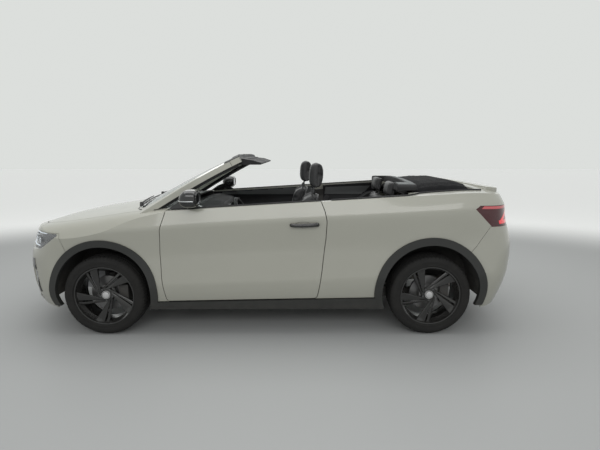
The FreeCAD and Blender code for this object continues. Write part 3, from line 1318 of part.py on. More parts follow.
# Front subframe with lower arms, struts and upper links.
sub_x = (along(0) - d.subframe_length / 2, along(0) + d.subframe_length / 2)
sub_top = d.subframe_z + d.subframe_thick
leg_z = (sub_top - d.joint_gap, d.rail_z - d.joint_gap)
pin_y = half_track - d.steer_offset
lower_z = d.wheel_centre_z - d.arm_drop
upper_z = d.wheel_centre_z + d.arm_drop
arm_x = (along(0) - d.arm_width / 2, along(0) + d.arm_width / 2)


def arm_solid(y_in, z):
    level = (z - d.arm_thick / 2, z + d.arm_thick / 2)
    end = Vector(along(0), -pin_y, level[0])
    bar = block(arm_x, (-pin_y, -y_in), level)
    eye = rod(d.arm_width / 2, end, end + Vector(0, 0, d.arm_thick))
    return bar.fuse(eye)


half_frame = [
    arm_solid(d.subframe_half - d.corner, lower_z), arm_solid(strut_y, upper_z),
    rod(d.strut_radius, Vector(along(0), -strut_y, lower_z), Vector(along(0), -strut_y, d.strut_top)),
    block((sub_x[0], sub_x[0] + d.subframe_leg), (-d.rail_out, -d.rail_in), leg_z),
    block((sub_x[1] - d.subframe_leg, sub_x[1]), (-d.rail_out, -d.rail_in), leg_z),
]
cradle = middle_block(sub_x, d.subframe_half, (d.subframe_z, sub_top))
pin_holes = [
    rod(d.pin_radius + d.run_clear, Vector(along(0), y, 0), Vector(along(0), y, d.strut_top))
    for y in (-pin_y, pin_y)
]
subframe = fuse([cradle] + half_frame + [mirrored(shape) for shape in half_frame]).cut(pin_holes)
add("front_subframe", largest(subframe))

# Rear axle: twist beam, trailing arms, spring seats, springs and hub carriers.
arm_out = d.sill_in - d.joint_gap
bush_x = along(1) - d.trail_arm_ahead
arm_level = (d.beam_z - d.trail_arm_high / 2, d.beam_z + d.trail_arm_high / 2)
spring_x = along(1) - d.spring_ahead
spring_seat_x = (spring_x - d.spring_radius - d.small_corner, spring_x + d.spring_radius + d.small_corner)
half_axle = carrier(along(1), half_track - d.trail_arm_in) + [
    block((bush_x, along(1) + d.knuckle_radius), (-arm_out, -d.trail_arm_in), arm_level),
    rod(d.trail_arm_high / 2, Vector(bush_x, -arm_out, d.beam_z), Vector(bush_x, -d.trail_arm_in, d.beam_z)),
    block(spring_seat_x, (-arm_out, -d.spring_y + d.spring_radius),
          (arm_level[0], arm_level[0] + d.arm_thick)),
    rod(d.spring_radius, Vector(spring_x, -d.spring_y, arm_level[0]),
        Vector(spring_x, -d.spring_y, d.boot_floor_z - d.joint_gap)),
]
beam_x = along(1) - d.beam_ahead
beam = rod(d.beam_radius, Vector(beam_x, -d.trail_arm_in - d.seam, d.beam_z),
           Vector(beam_x, d.trail_arm_in + d.seam, d.beam_z))
add("rear_axle", fuse([beam] + half_axle + [mirrored(shape) for shape in half_axle]))

# Exhaust with its hangers.
pipe_x = (along(0) + d.pipe_start, along(1) + d.muffler_x + d.corner)
muffler_x = (along(1) + d.muffler_x, along(1) + d.muffler_x + d.muffler_length)
muffler_z = (d.pipe_z - d.pipe_radius, d.pipe_z - d.pipe_radius + d.muffler_high)
hanger_z = (d.pipe_z, tunnel_top - d.pan_thick - d.joint_gap)
exhaust_parts = [
    rod(d.pipe_radius, Vector(pipe_x[0], 0, d.pipe_z), Vector(pipe_x[1], 0, d.pipe_z)),
    rounded(muffler_x, (-d.muffler_half, d.muffler_half), muffler_z, d.corner),
]
for share in (0.306, 0.648):
    exhaust_parts.append(middle_block((along(share), along(share) + d.hanger), d.hanger, hanger_z))
for y in (-d.muffler_half * 0.7, d.muffler_half * 0.7):
    mid_x = (muffler_x[0] + muffler_x[1]) / 2
    exhaust_parts.append(block(
        (mid_x, mid_x + d.hanger), (y, y + d.hanger),
        (muffler_z[1] - d.hanger, d.boot_floor_z - d.joint_gap)))
add("exhaust", fuse(exhaust_parts))

# Every part has to be sound before it is written.
doc.recompute()
faults = []
for label, feature in nodes.items():
    shape = feature.Shape
    if shape.isNull() or not shape.isValid() or not shape.Solids:
        faults.append(label)
for item in doc.Objects:
    if "Invalid" in item.State or "Error" in item.State:
        faults.append(item.Name)
if faults:
    raise RuntimeError("unsound: " + ", ".join(faults))
os.makedirs("parts", exist_ok=True)
for label, feature in nodes.items():
    feature.Label = label
    feature.Shape.exportStep(f"parts/{label}.step")
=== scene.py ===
"""Crossover convertible with its roof folded down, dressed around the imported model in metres."""

import json
import math

import bmesh
import bpy
from mathutils import Matrix, Vector
from mathutils.bvhtree import BVHTree

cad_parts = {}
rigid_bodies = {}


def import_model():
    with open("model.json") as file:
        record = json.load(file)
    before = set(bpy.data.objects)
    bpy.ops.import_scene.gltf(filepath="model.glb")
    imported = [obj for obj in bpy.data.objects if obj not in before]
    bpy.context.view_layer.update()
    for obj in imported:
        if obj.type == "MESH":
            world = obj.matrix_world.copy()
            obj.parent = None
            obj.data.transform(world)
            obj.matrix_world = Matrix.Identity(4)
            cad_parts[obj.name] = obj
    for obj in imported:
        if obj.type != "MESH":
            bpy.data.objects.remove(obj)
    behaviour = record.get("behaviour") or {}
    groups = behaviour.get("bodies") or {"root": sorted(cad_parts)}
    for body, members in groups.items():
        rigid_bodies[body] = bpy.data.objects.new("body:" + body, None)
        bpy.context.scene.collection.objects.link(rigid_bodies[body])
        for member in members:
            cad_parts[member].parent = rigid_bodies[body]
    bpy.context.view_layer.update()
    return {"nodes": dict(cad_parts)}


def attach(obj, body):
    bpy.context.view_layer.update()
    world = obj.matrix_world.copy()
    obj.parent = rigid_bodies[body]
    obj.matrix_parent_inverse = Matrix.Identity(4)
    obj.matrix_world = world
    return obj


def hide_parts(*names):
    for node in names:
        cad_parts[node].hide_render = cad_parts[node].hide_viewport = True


for leftover in list(bpy.data.objects):
    bpy.data.objects.remove(leftover)
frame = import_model()
nodes = frame["nodes"]

# Studio: a smooth pale floor under soft light from above and from both sides. The camera stands
# at the car's left, above its belt line, and looks slightly down.
CAMERA_SPOT = (0.2651, -3.9515, 1.4808)
CAMERA_PITCH = math.radians(10.43)
CAMERA_TURN = math.radians(0.15)
CAMERA_LENS = 24.09
FLOOR_HALF = 30.0
# Away from the car the floor turns brighter and glows: painted light that blends it into the
# backdrop.
FLOOR_NEAR = (0.40, 0.412, 0.408)
FLOOR_FAR_PAINTED_LIGHT = (0.80, 0.81, 0.80)
FLOOR_FADE = (3.4, 5.6)
FLOOR_LONG = 1.55
BACKDROP = (0.715, 0.735, 0.715)
WORLD_STRENGTH = 0.52
FLOOR_PAINTED_GLOW = (0.245, 0.252, 0.245)


def feed(tree, made, **sockets):
    """Each socket of that node takes a value, or is linked from an output."""
    for label, value in sockets.items():
        place = int(label[1:]) if label[1:].isdigit() else label.replace("_", " ")
        if isinstance(value, bpy.types.NodeSocket):
            tree.links.new(value, made.inputs[place])
        else:
            made.inputs[place].default_value = value
    return made


def node(tree, kind, settings=None, **sockets):
    """A new node in that tree. A socket is named, or numbered as i0, i1 and so on."""
    made = tree.nodes.new(kind)
    for name, value in (settings or {}).items():
        setattr(made, name, value)
    return feed(tree, made, **sockets)


camera_data = bpy.data.cameras.new("camera")
camera_data.lens = CAMERA_LENS
camera = bpy.data.objects.new("camera", camera_data)
camera.location = CAMERA_SPOT
camera.rotation_euler = (math.pi / 2 - CAMERA_PITCH, 0, -CAMERA_TURN)
bpy.context.scene.collection.objects.link(camera)
bpy.context.scene.camera = camera
bpy.context.scene.view_settings.view_transform = "Standard"

floor_mesh = bpy.data.meshes.new("floor")
floor_mesh.from_pydata(
    [(x * FLOOR_HALF, y * FLOOR_HALF, 0) for x, y in ((-1, -1), (1, -1), (1, 1), (-1, 1))],
    [], [(0, 1, 2, 3)])
floor = bpy.data.objects.new("floor", floor_mesh)
bpy.context.scene.collection.objects.link(floor)
floor_paint = bpy.data.materials.new("floor_paint")
floor_paint.use_nodes = True
tree = floor_paint.node_tree
spot = node(tree, "ShaderNodeTexCoord")
stretch = node(tree, "ShaderNodeVectorMath", {"operation": "MULTIPLY"},
               i0=spot.outputs["Object"], i1=(1 / FLOOR_LONG, 1, 1))
away = node(tree, "ShaderNodeVectorMath", {"operation": "LENGTH"}, i0=stretch.outputs["Vector"])
fade = node(tree, "ShaderNodeMapRange", {"interpolation_type": "SMOOTHSTEP"},
            Value=away.outputs["Value"], From_Min=FLOOR_FADE[0], From_Max=FLOOR_FADE[1])
# Painted light: the floor's colour brightens and its painted glow grows with distance from the
# car.
shades, floor_painted_glow = (
    node(tree, "ShaderNodeMix", {"data_type": "RGBA"}, Factor=fade.outputs["Result"],
         A=(*near, 1), B=(*far, 1))
    for near, far in ((FLOOR_NEAR, FLOOR_FAR_PAINTED_LIGHT), ((0, 0, 0), FLOOR_PAINTED_GLOW)))
feed(tree, tree.nodes["Principled BSDF"], Base_Color=shades.outputs["Result"], Roughness=0.5,
     Emission_Color=floor_painted_glow.outputs["Result"], Emission_Strength=1.0)
floor_mesh.materials.append(floor_paint)

world = bpy.data.worlds.new("studio_air")
bpy.context.scene.world = world
world.use_nodes = True
air = world.node_tree
plain = feed(air, air.nodes["Background"], Color=(1, 1, 1, 1), Strength=WORLD_STRENGTH)
wall = node(air, "ShaderNodeBackground", Color=(*BACKDROP, 1))
path = node(air, "ShaderNodeLightPath")
either = node(air, "ShaderNodeMath", {"operation": "MAXIMUM"},
              i0=path.outputs["Is Camera Ray"], i1=path.outputs["Is Glossy Ray"])
seen = node(air, "ShaderNodeMath", {"operation": "MAXIMUM"},
            i0=either.outputs[0], i1=path.outputs["Is Transmission Ray"])
choose = node(air, "ShaderNodeMixShader", Fac=seen.outputs[0], i1=plain.outputs[0],
              i2=wall.outputs[0])
feed(air, air.nodes["World Output"], Surface=choose.outputs[0])

for lamp_name, spot_at, aim, size, power in (
    ("lamp_above", (0, 0, 4.2), (0, 0, 0), (6.0, 3.0), 100),
    ("lamp_left", (0.4, -5.5, 3.4), (0, 0, 0.5), (6.5, 1.6), 88),
    ("lamp_right", (0, 5.0, 3.4), (0, 0, 0.6), (6.5, 1.6), 55),
):
    lamp_data = bpy.data.lights.new(lamp_name, "AREA")
    lamp_data.shape = "RECTANGLE"
    lamp_data.size, lamp_data.size_y = size
    lamp_data.energy = power
    lamp = bpy.data.objects.new(lamp_name, lamp_data)
    lamp.location = spot_at
    lamp.rotation_euler = (Vector(aim) - Vector(spot_at)).to_track_quat("-Z", "Y").to_euler()
    bpy.context.scene.collection.objects.link(lamp)

# Painted body: wings, doors, quarters, bumpers, bonnet and lid are pressed steel and moulded
# plastic, sprayed warm light grey under one clear coat.
PAINT_COLOUR = (0.372, 0.372, 0.322)
PAINT_SHADE = (0.352, 0.352, 0.303)
DUST_COLOUR = (0.30, 0.285, 0.25)


def surface(name, colour, roughness, **settings):
    """A material with one Principled shader. Its sockets are named with _ for each space."""
    material = bpy.data.materials.new(name)
    material.use_nodes = True
    feed(material.node_tree, material.node_tree.nodes["Principled BSDF"],
         Base_Color=(*colour, 1), Roughness=roughness, **settings)
    return material


def effect(name, inputs, outputs):
    """An empty shader node group with those sockets, and its two end nodes."""
    group = bpy.data.node_groups.new(name, "ShaderNodeTree")
    for label, value in inputs.items():
        kind = "NodeSocketColor" if isinstance(value, tuple) else "NodeSocketFloat"
        socket = group.interface.new_socket(label, in_out="INPUT", socket_type=kind)
        socket.default_value = (*value, 1) if isinstance(value, tuple) else value
    for label, kind in outputs.items():
        group.interface.new_socket(label, in_out="OUTPUT", socket_type=kind)
    return group, group.nodes.new("NodeGroupInput"), group.nodes.new("NodeGroupOutput")


# Road dust: it settles on the lower edges and breaks up with noise.
dust, dust_in, dust_out = effect(
    "road_dust",
    {"Colour": (0.5, 0.5, 0.5), "Dust": DUST_COLOUR, "Amount": 0.3, "Full Height": 0.15,
     "Clear Height": 0.55},
    {"Colour": "NodeSocketColor", "Mask": "NodeSocketFloat"})
dust_spot = node(dust, "ShaderNodeTexCoord")
dust_height = node(dust, "ShaderNodeSeparateXYZ", i0=dust_spot.outputs["Object"])
dust_fade = node(
    dust, "ShaderNodeMapRange", {"interpolation_type": "SMOOTHSTEP"},
    Value=dust_height.outputs["Z"], From_Min=dust_in.outputs["Clear Height"],
    From_Max=dust_in.outputs["Full Height"])
dust_specks = node(
    dust, "ShaderNodeTexNoise", Vector=dust_spot.outputs["Object"], Scale=14.0, Detail=5.0,
    Roughness=0.6)
dust_broken = node(
    dust, "ShaderNodeMath", {"operation": "MULTIPLY"}, i0=dust_fade.outputs["Result"],
    i1=dust_specks.outputs["Fac"])
dust_mask = node(
    dust, "ShaderNodeMath", {"operation": "MULTIPLY"}, i0=dust_broken.outputs[0],
    i1=dust_in.outputs["Amount"])
dust_mix = node(
    dust, "ShaderNodeMix", {"data_type": "RGBA"}, Factor=dust_mask.outputs[0],
    A=dust_in.outputs["Colour"], B=dust_in.outputs["Dust"])
feed(dust, dust_out, Colour=dust_mix.outputs["Result"], Mask=dust_mask.outputs[0])

# Relief: fine noise or cells that a Bump node turns into peel, mould grain or leather.
relief, relief_in, relief_out = effect(
    "fine_relief",
    {"Scale": 900.0, "Cells": 0.0, "Low Roughness": 0.3, "High Roughness": 0.4},
    {"Height": "NodeSocketFloat", "Roughness": "NodeSocketFloat", "Shade": "NodeSocketFloat"})
relief_spot = node(relief, "ShaderNodeTexCoord")
relief_noise = node(
    relief, "ShaderNodeTexNoise", Vector=relief_spot.outputs["Object"],
    Scale=relief_in.outputs["Scale"], Detail=3.0, Roughness=0.55)
relief_cells = node(
    relief, "ShaderNodeTexVoronoi", {"feature": "SMOOTH_F1"},
    Vector=relief_spot.outputs["Object"], Scale=relief_in.outputs["Scale"])
relief_height = node(
    relief, "ShaderNodeMix", {"data_type": "FLOAT"}, i0=relief_in.outputs["Cells"],
    i2=relief_noise.outputs["Fac"], i3=relief_cells.outputs["Distance"])
relief_broad = node(
    relief, "ShaderNodeTexNoise", Vector=relief_spot.outputs["Object"], Scale=3.5, Detail=4.0)
relief_rough = node(
    relief, "ShaderNodeMapRange", Value=relief_broad.outputs["Fac"],
    To_Min=relief_in.outputs["Low Roughness"], To_Max=relief_in.outputs["High Roughness"],
    From_Min=0.3, From_Max=0.7)
feed(relief, relief_out, Height=relief_height.outputs["Result"],
     Roughness=relief_rough.outputs["Result"], Shade=relief_broad.outputs["Fac"])


def textured(material, scale, depth, shades, roughness, cells=0.0, dusty=0.0, clear_at=0.55):
    """Gives a material its relief, its broad change of shade and its road dust."""
    tree = material.node_tree
    grain = node(tree, "ShaderNodeGroup", {"node_tree": relief}, Scale=scale, Cells=cells,
                 Low_Roughness=roughness[0], High_Roughness=roughness[1])
    bump = node(tree, "ShaderNodeBump", Height=grain.outputs["Height"], Strength=1.0,
                Distance=depth)
    tint = node(tree, "ShaderNodeMix", {"data_type": "RGBA"}, Factor=grain.outputs["Shade"],
                A=(*shades[0], 1), B=(*shades[1], 1))
    dusted = node(tree, "ShaderNodeGroup", {"node_tree": dust}, Colour=tint.outputs["Result"],
                  Amount=dusty, Clear_Height=clear_at)
    feed(tree, tree.nodes["Principled BSDF"], Base_Color=dusted.outputs["Colour"],
         Roughness=grain.outputs["Roughness"], Normal=bump.outputs["Normal"])
    return material


def finish(material, *names):
    """Those CAD nodes take that material."""
    for name in names:
        for place in nodes[name].material_slots:
            place.material = material


body_paint = textured(
    surface("body_paint", PAINT_COLOUR, 0.35, Coat_Weight=0.7, Coat_Roughness=0.06,
            Specular_IOR_Level=0.4),
    260.0, 0.00004, (PAINT_COLOUR, PAINT_SHADE), (0.32, 0.38), dusty=0.2, clear_at=0.42)
finish(body_paint, "front_wing_left", "front_wing_right", "door_left", "door_right",
       "rear_quarter_left", "rear_quarter_right", "front_bumper", "rear_bumper", "bonnet",
       "boot_lid", "windscreen_frame", "spoiler")

# Unpainted plastic: arch lips, sill covers, lower rear panel and cowl are moulded in black with
# a fine grain. Liners inside the arches are felted plastic. Grilles are moulded in gloss black.
cladding_plastic = textured(
    surface("cladding_plastic", (0.02, 0.021, 0.02), 0.6),
    1500.0, 0.00012, ((0.017, 0.018, 0.017), (0.026, 0.027, 0.025)), (0.5, 0.66), cells=0.6,
    dusty=0.12, clear_at=0.5)
finish(cladding_plastic, "cladding_left", "cladding_right", "rear_lower_panel", "cowl")
liner_felt = textured(
    surface("liner_felt", (0.012, 0.012, 0.012), 0.95),
    600.0, 0.0006, ((0.008, 0.008, 0.008), (0.016, 0.016, 0.015)), (0.9, 1.0), dusty=0.5,
    clear_at=0.8)
finish(liner_felt, "wheel_liners")
gloss_black = textured(
    surface("gloss_black", (0.008, 0.008, 0.009), 0.12, Coat_Weight=0.6, Coat_Roughness=0.05),
    300.0, 0.00003, ((0.006, 0.006, 0.007), (0.011, 0.011, 0.011)), (0.1, 0.2))
finish(gloss_black, "front_grilles", "door_fittings_left", "door_fittings_right")


# Windscreen: laminated glass, bonded into a painted frame whose inside is covered with soft black
# trim. The sun visors fold against the header.
def placed(name, mesh, body, slot, material=None, spot=(0, 0, 0), turn=(0, 0, 0), place=None):
    """An object for that mesh, riding on that body. place is a matrix that stands for both."""
    made = bpy.data.objects.new(name, mesh)
    made.location = spot
    made.rotation_euler = turn
    if place is not None:
        made.matrix_world = place
    bpy.context.scene.collection.objects.link(made)
    if material is not None:
        mesh.materials.clear()
        mesh.materials.append(material)
    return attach(made, body)


def filled(name, make, smooth=30):
    """A mesh that make(bm) builds, smooth where its faces meet at less than that angle."""
    bm = bmesh.new()
    make(bm)
    bmesh.ops.recalc_face_normals(bm, faces=bm.faces)
    mesh = bpy.data.meshes.new(name)
    bm.to_mesh(mesh)
    bm.free()
    mesh.shade_smooth()
    mesh.set_sharp_from_angle(angle=math.radians(smooth))
    return mesh


def built(name, make, body, slot, material, smooth=30, **where):
    """A piece of one material that make(bm) builds."""
    return placed(name, filled(name, make, smooth), body, slot, material, **where)


clear_glass = surface("clear_glass", (0.80, 0.86, 0.84), 0.0, Transmission_Weight=1.0, IOR=1.5)
finish(clear_glass, "windscreen_glass")
soft_trim = textured(
    surface("soft_trim", (0.013, 0.013, 0.014), 0.75, Specular_IOR_Level=0.3),
    1300.0, 0.00012, ((0.011, 0.011, 0.012), (0.018, 0.018, 0.019)), (0.6, 0.78), cells=0.7)
grey_trim = textured(
    surface("grey_trim", (0.10, 0.105, 0.105), 0.6),
    1300.0, 0.0001, ((0.085, 0.09, 0.09), (0.12, 0.125, 0.125)), (0.5, 0.65), cells=0.7)
finish(soft_trim, "windscreen_trim", "dashboard", "door_trim_left", "door_trim_right",
       "quarter_trims")

# Underbody, axles, engine and exhaust: floor, subframe and axle are pressed and welded steel,
# coated against rust. The engine is cast aluminium, and the exhaust is bent steel pipe.
coated_steel = textured(
    surface("coated_steel", (0.03, 0.03, 0.03), 0.6),
    220.0, 0.0003, ((0.022, 0.022, 0.022), (0.045, 0.043, 0.04)), (0.5, 0.8), dusty=0.3,
    clear_at=0.5)
finish(coated_steel, "underbody", "front_subframe", "rear_axle", "knuckle_left", "knuckle_right")
cast_aluminium = textured(
    surface("cast_aluminium", (0.35, 0.35, 0.36), 0.45, Metallic=0.9),
    400.0, 0.0003, ((0.28, 0.28, 0.29), (0.42, 0.42, 0.43)), (0.4, 0.6))
finish(cast_aluminium, "engine")
pipe_steel = textured(
    surface("pipe_steel", (0.38, 0.36, 0.34), 0.35, Metallic=1.0),
    120.0, 0.0001, ((0.42, 0.40, 0.38), (0.27, 0.23, 0.19)), (0.25, 0.5))
finish(pipe_steel, "exhaust")

# Tyres: black rubber with four tread grooves, cross slots in the ribs and a plain sidewall with
# a rim guard and fine rings. One mesh serves the four wheels.
AXLE_FRONT, AXLE_REAR = -1.3045, 1.3255
HALF_TRACK, WHEEL_HEIGHT = 0.773, 0.330
WHEEL_SPOTS = {
    "front_left": (AXLE_FRONT, -HALF_TRACK, 0.0), "front_right": (AXLE_FRONT, HALF_TRACK, math.pi),
    "rear_left": (AXLE_REAR, -HALF_TRACK, 0.0), "rear_right": (AXLE_REAR, HALF_TRACK, math.pi),
}
TYRE_PITCHES = 66
# Shares of a pitch, each with 1 in its cross slot and 0 on its rib. The slots lag outwards.
TYRE_STEPS = ((0.0, 1), (0.12, 1), (0.15, 0), (0.97, 0))
TYRE_LAG = 0.35
# Half of the tyre's section: distance from its middle plane, radius, and its slot's depth.
TYRE_SECTION = (
    (0.0, 0.3298, 0.0), (0.0085, 0.3298, 0.0), (0.0165, 0.3297, 0.003), (0.0166, 0.3232, 0.0),
    (0.0254, 0.3231, 0.0), (0.0255, 0.3294, 0.003), (0.034, 0.3292, 0.004), (0.044, 0.3288, 0.004),
    (0.0519, 0.3284, 0.003), (0.052, 0.322, 0.0), (0.060, 0.3215, 0.0), (0.0601, 0.3277, 0.0),
    (0.068, 0.327, 0.004), (0.078, 0.3255, 0.005), (0.087, 0.3228, 0.005), (0.0935, 0.3185, 0.004),
    (0.098, 0.3125, 0.002), (0.1010, 0.3065, 0.0), (0.1024, 0.3052, 0.0), (0.1045, 0.298, 0.0),
    (0.1062, 0.290, 0.0), (0.1068, 0.2885, 0.0), (0.1060, 0.2870, 0.0), (0.1066, 0.281, 0.0),
    (0.1060, 0.273, 0.0), (0.1052, 0.2715, 0.0), (0.1062, 0.2695, 0.0), (0.1050, 0.262, 0.0),
    (0.1055, 0.2560, 0.0), (0.1062, 0.2530, 0.0), (0.1050, 0.2500, 0.0), (0.1010, 0.2475, 0.0),
    (0.0965, 0.2440, 0.0), (0.0950, 0.2380, 0.0), (0.0900, 0.2360, 0.0), (0.0700, 0.2375, 0.0),
)


def around(count):
    """That many angles, even round a circle."""
    return [2 * math.pi * k / count for k in range(count)]


def joined(bm, rings, closed=False, capped=0, open_rows=False):
    """Faces between each ring of points and the next.

    closed joins the last ring to the first. capped is 1 or -1 where faces close both ends, for
    rings that run one way round or the other. open_rows are rows and not rings.
    """
    pairs = list(zip(rings, rings[1:]))
    if closed:
        pairs.append((rings[-1], rings[0]))
    for one, other in pairs:
        for k in range(len(one) - open_rows):
            after = (k + 1) % len(one)
            bm.faces.new((one[k], one[after], other[after], other[k]))
    if capped:
        bm.faces.new(rings[0][::-capped])
        bm.faces.new(rings[-1][::capped])


def tyre(bm):
    """Tyre round Y, with its outer side towards -Y."""
    turns = [(2 * math.pi * (pitch + share) / TYRE_PITCHES, cut)
             for pitch in range(TYRE_PITCHES) for share, cut in TYRE_STEPS]
    section = [(-a, r, deep) for a, r, deep in reversed(TYRE_SECTION[1:])] + list(TYRE_SECTION)
    rings = []
    for turn, cut in turns:
        ring = []
        for across, radius, deep in section:
            lag = TYRE_LAG * across if deep else 0.0
            reach = radius - deep * cut
            ring.append(bm.verts.new((
                reach * math.cos(turn + lag), across, reach * math.sin(turn + lag))))
        rings.append(ring)
    joined(bm, rings, closed=True)


tyre_rubber = textured(
    surface("tyre_rubber", (0.009, 0.009, 0.0095), 0.8, Specular_IOR_Level=0.3),
    900.0, 0.0001, ((0.0045, 0.0045, 0.005), (0.009, 0.009, 0.009)), (0.7, 0.9), dusty=0.06,
    clear_at=0.6)
tyre_mesh = filled("tyre", tyre, 28)
for corner, (x, y, turn) in WHEEL_SPOTS.items():
    made = placed(f"tyre_with_tread_{corner}", tyre_mesh, f"wheel_{corner}", "tyre", tyre_rubber,
                  (x, y, WHEEL_HEIGHT), (0, 0, turn))
    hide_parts(f"tyre_{corner}")

# Rims: cast alloy sprayed gloss black. Five pairs of blades, one wide and one narrow with a slit
# between, run from the hub to the rim. A plain silver cap covers the hub, inside five bolts.
RIM_TURNS = 120
BARREL_SECTION = (
    (-0.0985, 0.2425), (-0.0955, 0.2430), (-0.0930, 0.2425), (-0.0925, 0.2365), (-0.0750, 0.2355),
    (-0.0550, 0.2180), (0.0280, 0.2180), (0.0720, 0.2350), (0.0915, 0.2360), (0.0925, 0.2425),
    (0.0975, 0.2428), (0.0975, 0.2280), (0.0720, 0.2270), (0.0300, 0.2105), (-0.0500, 0.2105),
    (-0.0760, 0.2265), (-0.0900, 0.2310), (-0.0975, 0.2330), (-0.0992, 0.2380),
)
HUB_SECTION = (
    (-0.0300, 0.0300), (-0.0300, 0.0640), (-0.0520, 0.0640), (-0.0600, 0.0590), (-0.0625, 0.0400),
    (-0.0560, 0.0360), (-0.0560, 0.0302),
)
SPOKES = 5
SPOKE_TURN = 18
# A blade's edges at its hub end and at its rim end, as (along the spoke, aside), and a share of
# the way at which the rows across it lie.
WIDE_BLADE = ((0.0102, 0.0397), (0.2428, 0.0467), (0.0102, 0.0512), (0.2428, 0.1280))
NARROW_BLADE = ((-0.0102, 0.0474), (0.2428, 0.1460), (-0.0064, 0.0614), (0.2428, 0.1780))
BLADE_ROWS = (0.0, 0.15, 0.3, 0.45, 0.6, 0.75, 0.9, 1.0)
BLADE_REACH = 0.2312
# A blade's face at the hub, how far it is dished by the rim, and its slope to its trailing edge.
BLADE_FACE, BLADE_DISH, BLADE_SLOPE = -0.0660, 0.0165, 0.0035
BLADE_BACK, BLADE_THINNED = -0.0600, 0.004
BLADE_BEVEL, BLADE_CURVE = 0.0032, 1.4
# Where the face's slope begins, as a share of its width, and its depth there.
BLADE_CREST = (0.62, 0.001)
# The hub's bolts and cap, as (radius, height) and (height, radius), out towards -Y.
BOLT_CIRCLE, BOLT_HEIGHT = 0.0515, -0.0595
BOLT_SECTION = ((0.0098, 0.006), (0.0098, -0.002), (0.0085, -0.0045), (0.0055, -0.006))
CAP_SECTION = (
    (-0.0560, 0.0340), (-0.0685, 0.0340), (-0.0708, 0.0325), (-0.0705, 0.0302), (-0.0698, 0.0290),
    (-0.0738, 0.0200), (-0.0755, 0.0100), (-0.0760, 0.0004), (-0.0560, 0.0004),
)


def turned_ring(section, steps):
    """A closed section of (across, radius) pairs turned round Y."""
    def make(bm):
        joined(bm, [[bm.verts.new((radius * math.cos(turn), across, radius * math.sin(turn)))
                     for across, radius in section] for turn in around(steps)], closed=True)
    return make


def blade(bm, turn, edges):
    """One swept blade between two edges, dished out towards the rim and bevelled on both sides."""
    rings = []
    low_foot, low_tip, high_foot, high_tip = (Vector(edge) for edge in edges)
    for share in BLADE_ROWS:
        low, high = low_foot.lerp(low_tip, share), high_foot.lerp(high_tip, share)
        for edge in (low, high):
            if edge.length > BLADE_REACH:
                edge *= BLADE_REACH / edge.length
        bevel = (high - low).normalized() * BLADE_BEVEL
        face = BLADE_FACE - BLADE_DISH * share ** BLADE_CURVE
        rear = BLADE_BACK + BLADE_THINNED * share
        rows = ((low, face + BLADE_BEVEL), (low + bevel, face),
                (low.lerp(high, BLADE_CREST[0]), face + BLADE_CREST[1]),
                (high - bevel, face + BLADE_SLOPE),
                (high, face + BLADE_SLOPE + BLADE_BEVEL), (high, rear), (low, rear))
        rings.append([bm.verts.new((
            spot.x * math.cos(turn) - spot.y * math.sin(turn), out,
            spot.x * math.sin(turn) + spot.y * math.cos(turn))) for spot, out in rows])
    joined(bm, rings, capped=-1)


def rim(bm):
    """Rim round Y, with its outer side towards -Y."""
    turned_ring(BARREL_SECTION, RIM_TURNS)(bm)
    turned_ring(HUB_SECTION, 60)(bm)
    for spoke in range(SPOKES):
        turn = math.radians(SPOKE_TURN + spoke * 360 / SPOKES)
        blade(bm, turn, WIDE_BLADE)
        blade(bm, turn, NARROW_BLADE)


def hub_bolts(bm):
    """Five domed bolts in the hub, between the spokes."""
    for number in range(SPOKES):
        turn = math.radians(SPOKE_TURN + (number + 0.5) * 360 / SPOKES)
        middle = Vector((BOLT_CIRCLE * math.cos(turn), BOLT_HEIGHT, BOLT_CIRCLE * math.sin(turn)))
        joined(bm, [[bm.verts.new(middle + Vector((radius * math.cos(t), lift,
                                                   radius * math.sin(t)))) for t in around(6)]
                    for radius, lift in BOLT_SECTION], capped=1)


rim_paint = textured(
    surface("rim_paint", (0.004, 0.004, 0.0045), 0.22, Coat_Weight=0.35, Coat_Roughness=0.08),
    300.0, 0.00003, ((0.0055, 0.0055, 0.006), (0.009, 0.009, 0.009)), (0.2, 0.3), dusty=0.06,
    clear_at=0.6)
cap_silver = textured(
    surface("cap_silver", (0.5, 0.5, 0.5), 0.35, Metallic=0.25),
    500.0, 0.00003, ((0.48, 0.48, 0.48), (0.56, 0.56, 0.56)), (0.25, 0.35))
bolt_steel = textured(
    surface("bolt_steel", (0.10, 0.10, 0.105), 0.4, Metallic=0.9),
    500.0, 0.0001, ((0.08, 0.08, 0.085), (0.13, 0.13, 0.13)), (0.35, 0.5))
rim_mesh, bolts_mesh = filled("rim", rim, 25), filled("hub_bolts", hub_bolts)
cap_mesh = filled("hub_cap", turned_ring(CAP_SECTION, 48))
for corner, (x, y, turn) in WHEEL_SPOTS.items():
    spot_and_turn = ((x, y, WHEEL_HEIGHT), (0, 0, turn))
    body = f"wheel_{corner}"
    made = placed(f"rim_with_blades_{corner}", rim_mesh, body, "rim", rim_paint, *spot_and_turn)
    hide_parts(f"rim_{corner}")
    placed(f"hub_bolts_{corner}", bolts_mesh, body, "disc", bolt_steel, *spot_and_turn)
    placed(f"hub_cap_{corner}", cap_mesh, body, "disc", cap_silver, *spot_and_turn)
# The brake discs' steel is painted darker than bare steel: painted shade for the inside of the
# wheels.
shade_darkened_steel = textured(
    surface("shade_darkened_steel", (0.17, 0.17, 0.175), 0.4, Metallic=0.95),
    150.0, 0.00005, ((0.15, 0.15, 0.155), (0.20, 0.195, 0.19)), (0.34, 0.48))
finish(shade_darkened_steel, *(f"brake_disc_{corner}" for corner in WHEEL_SPOTS))

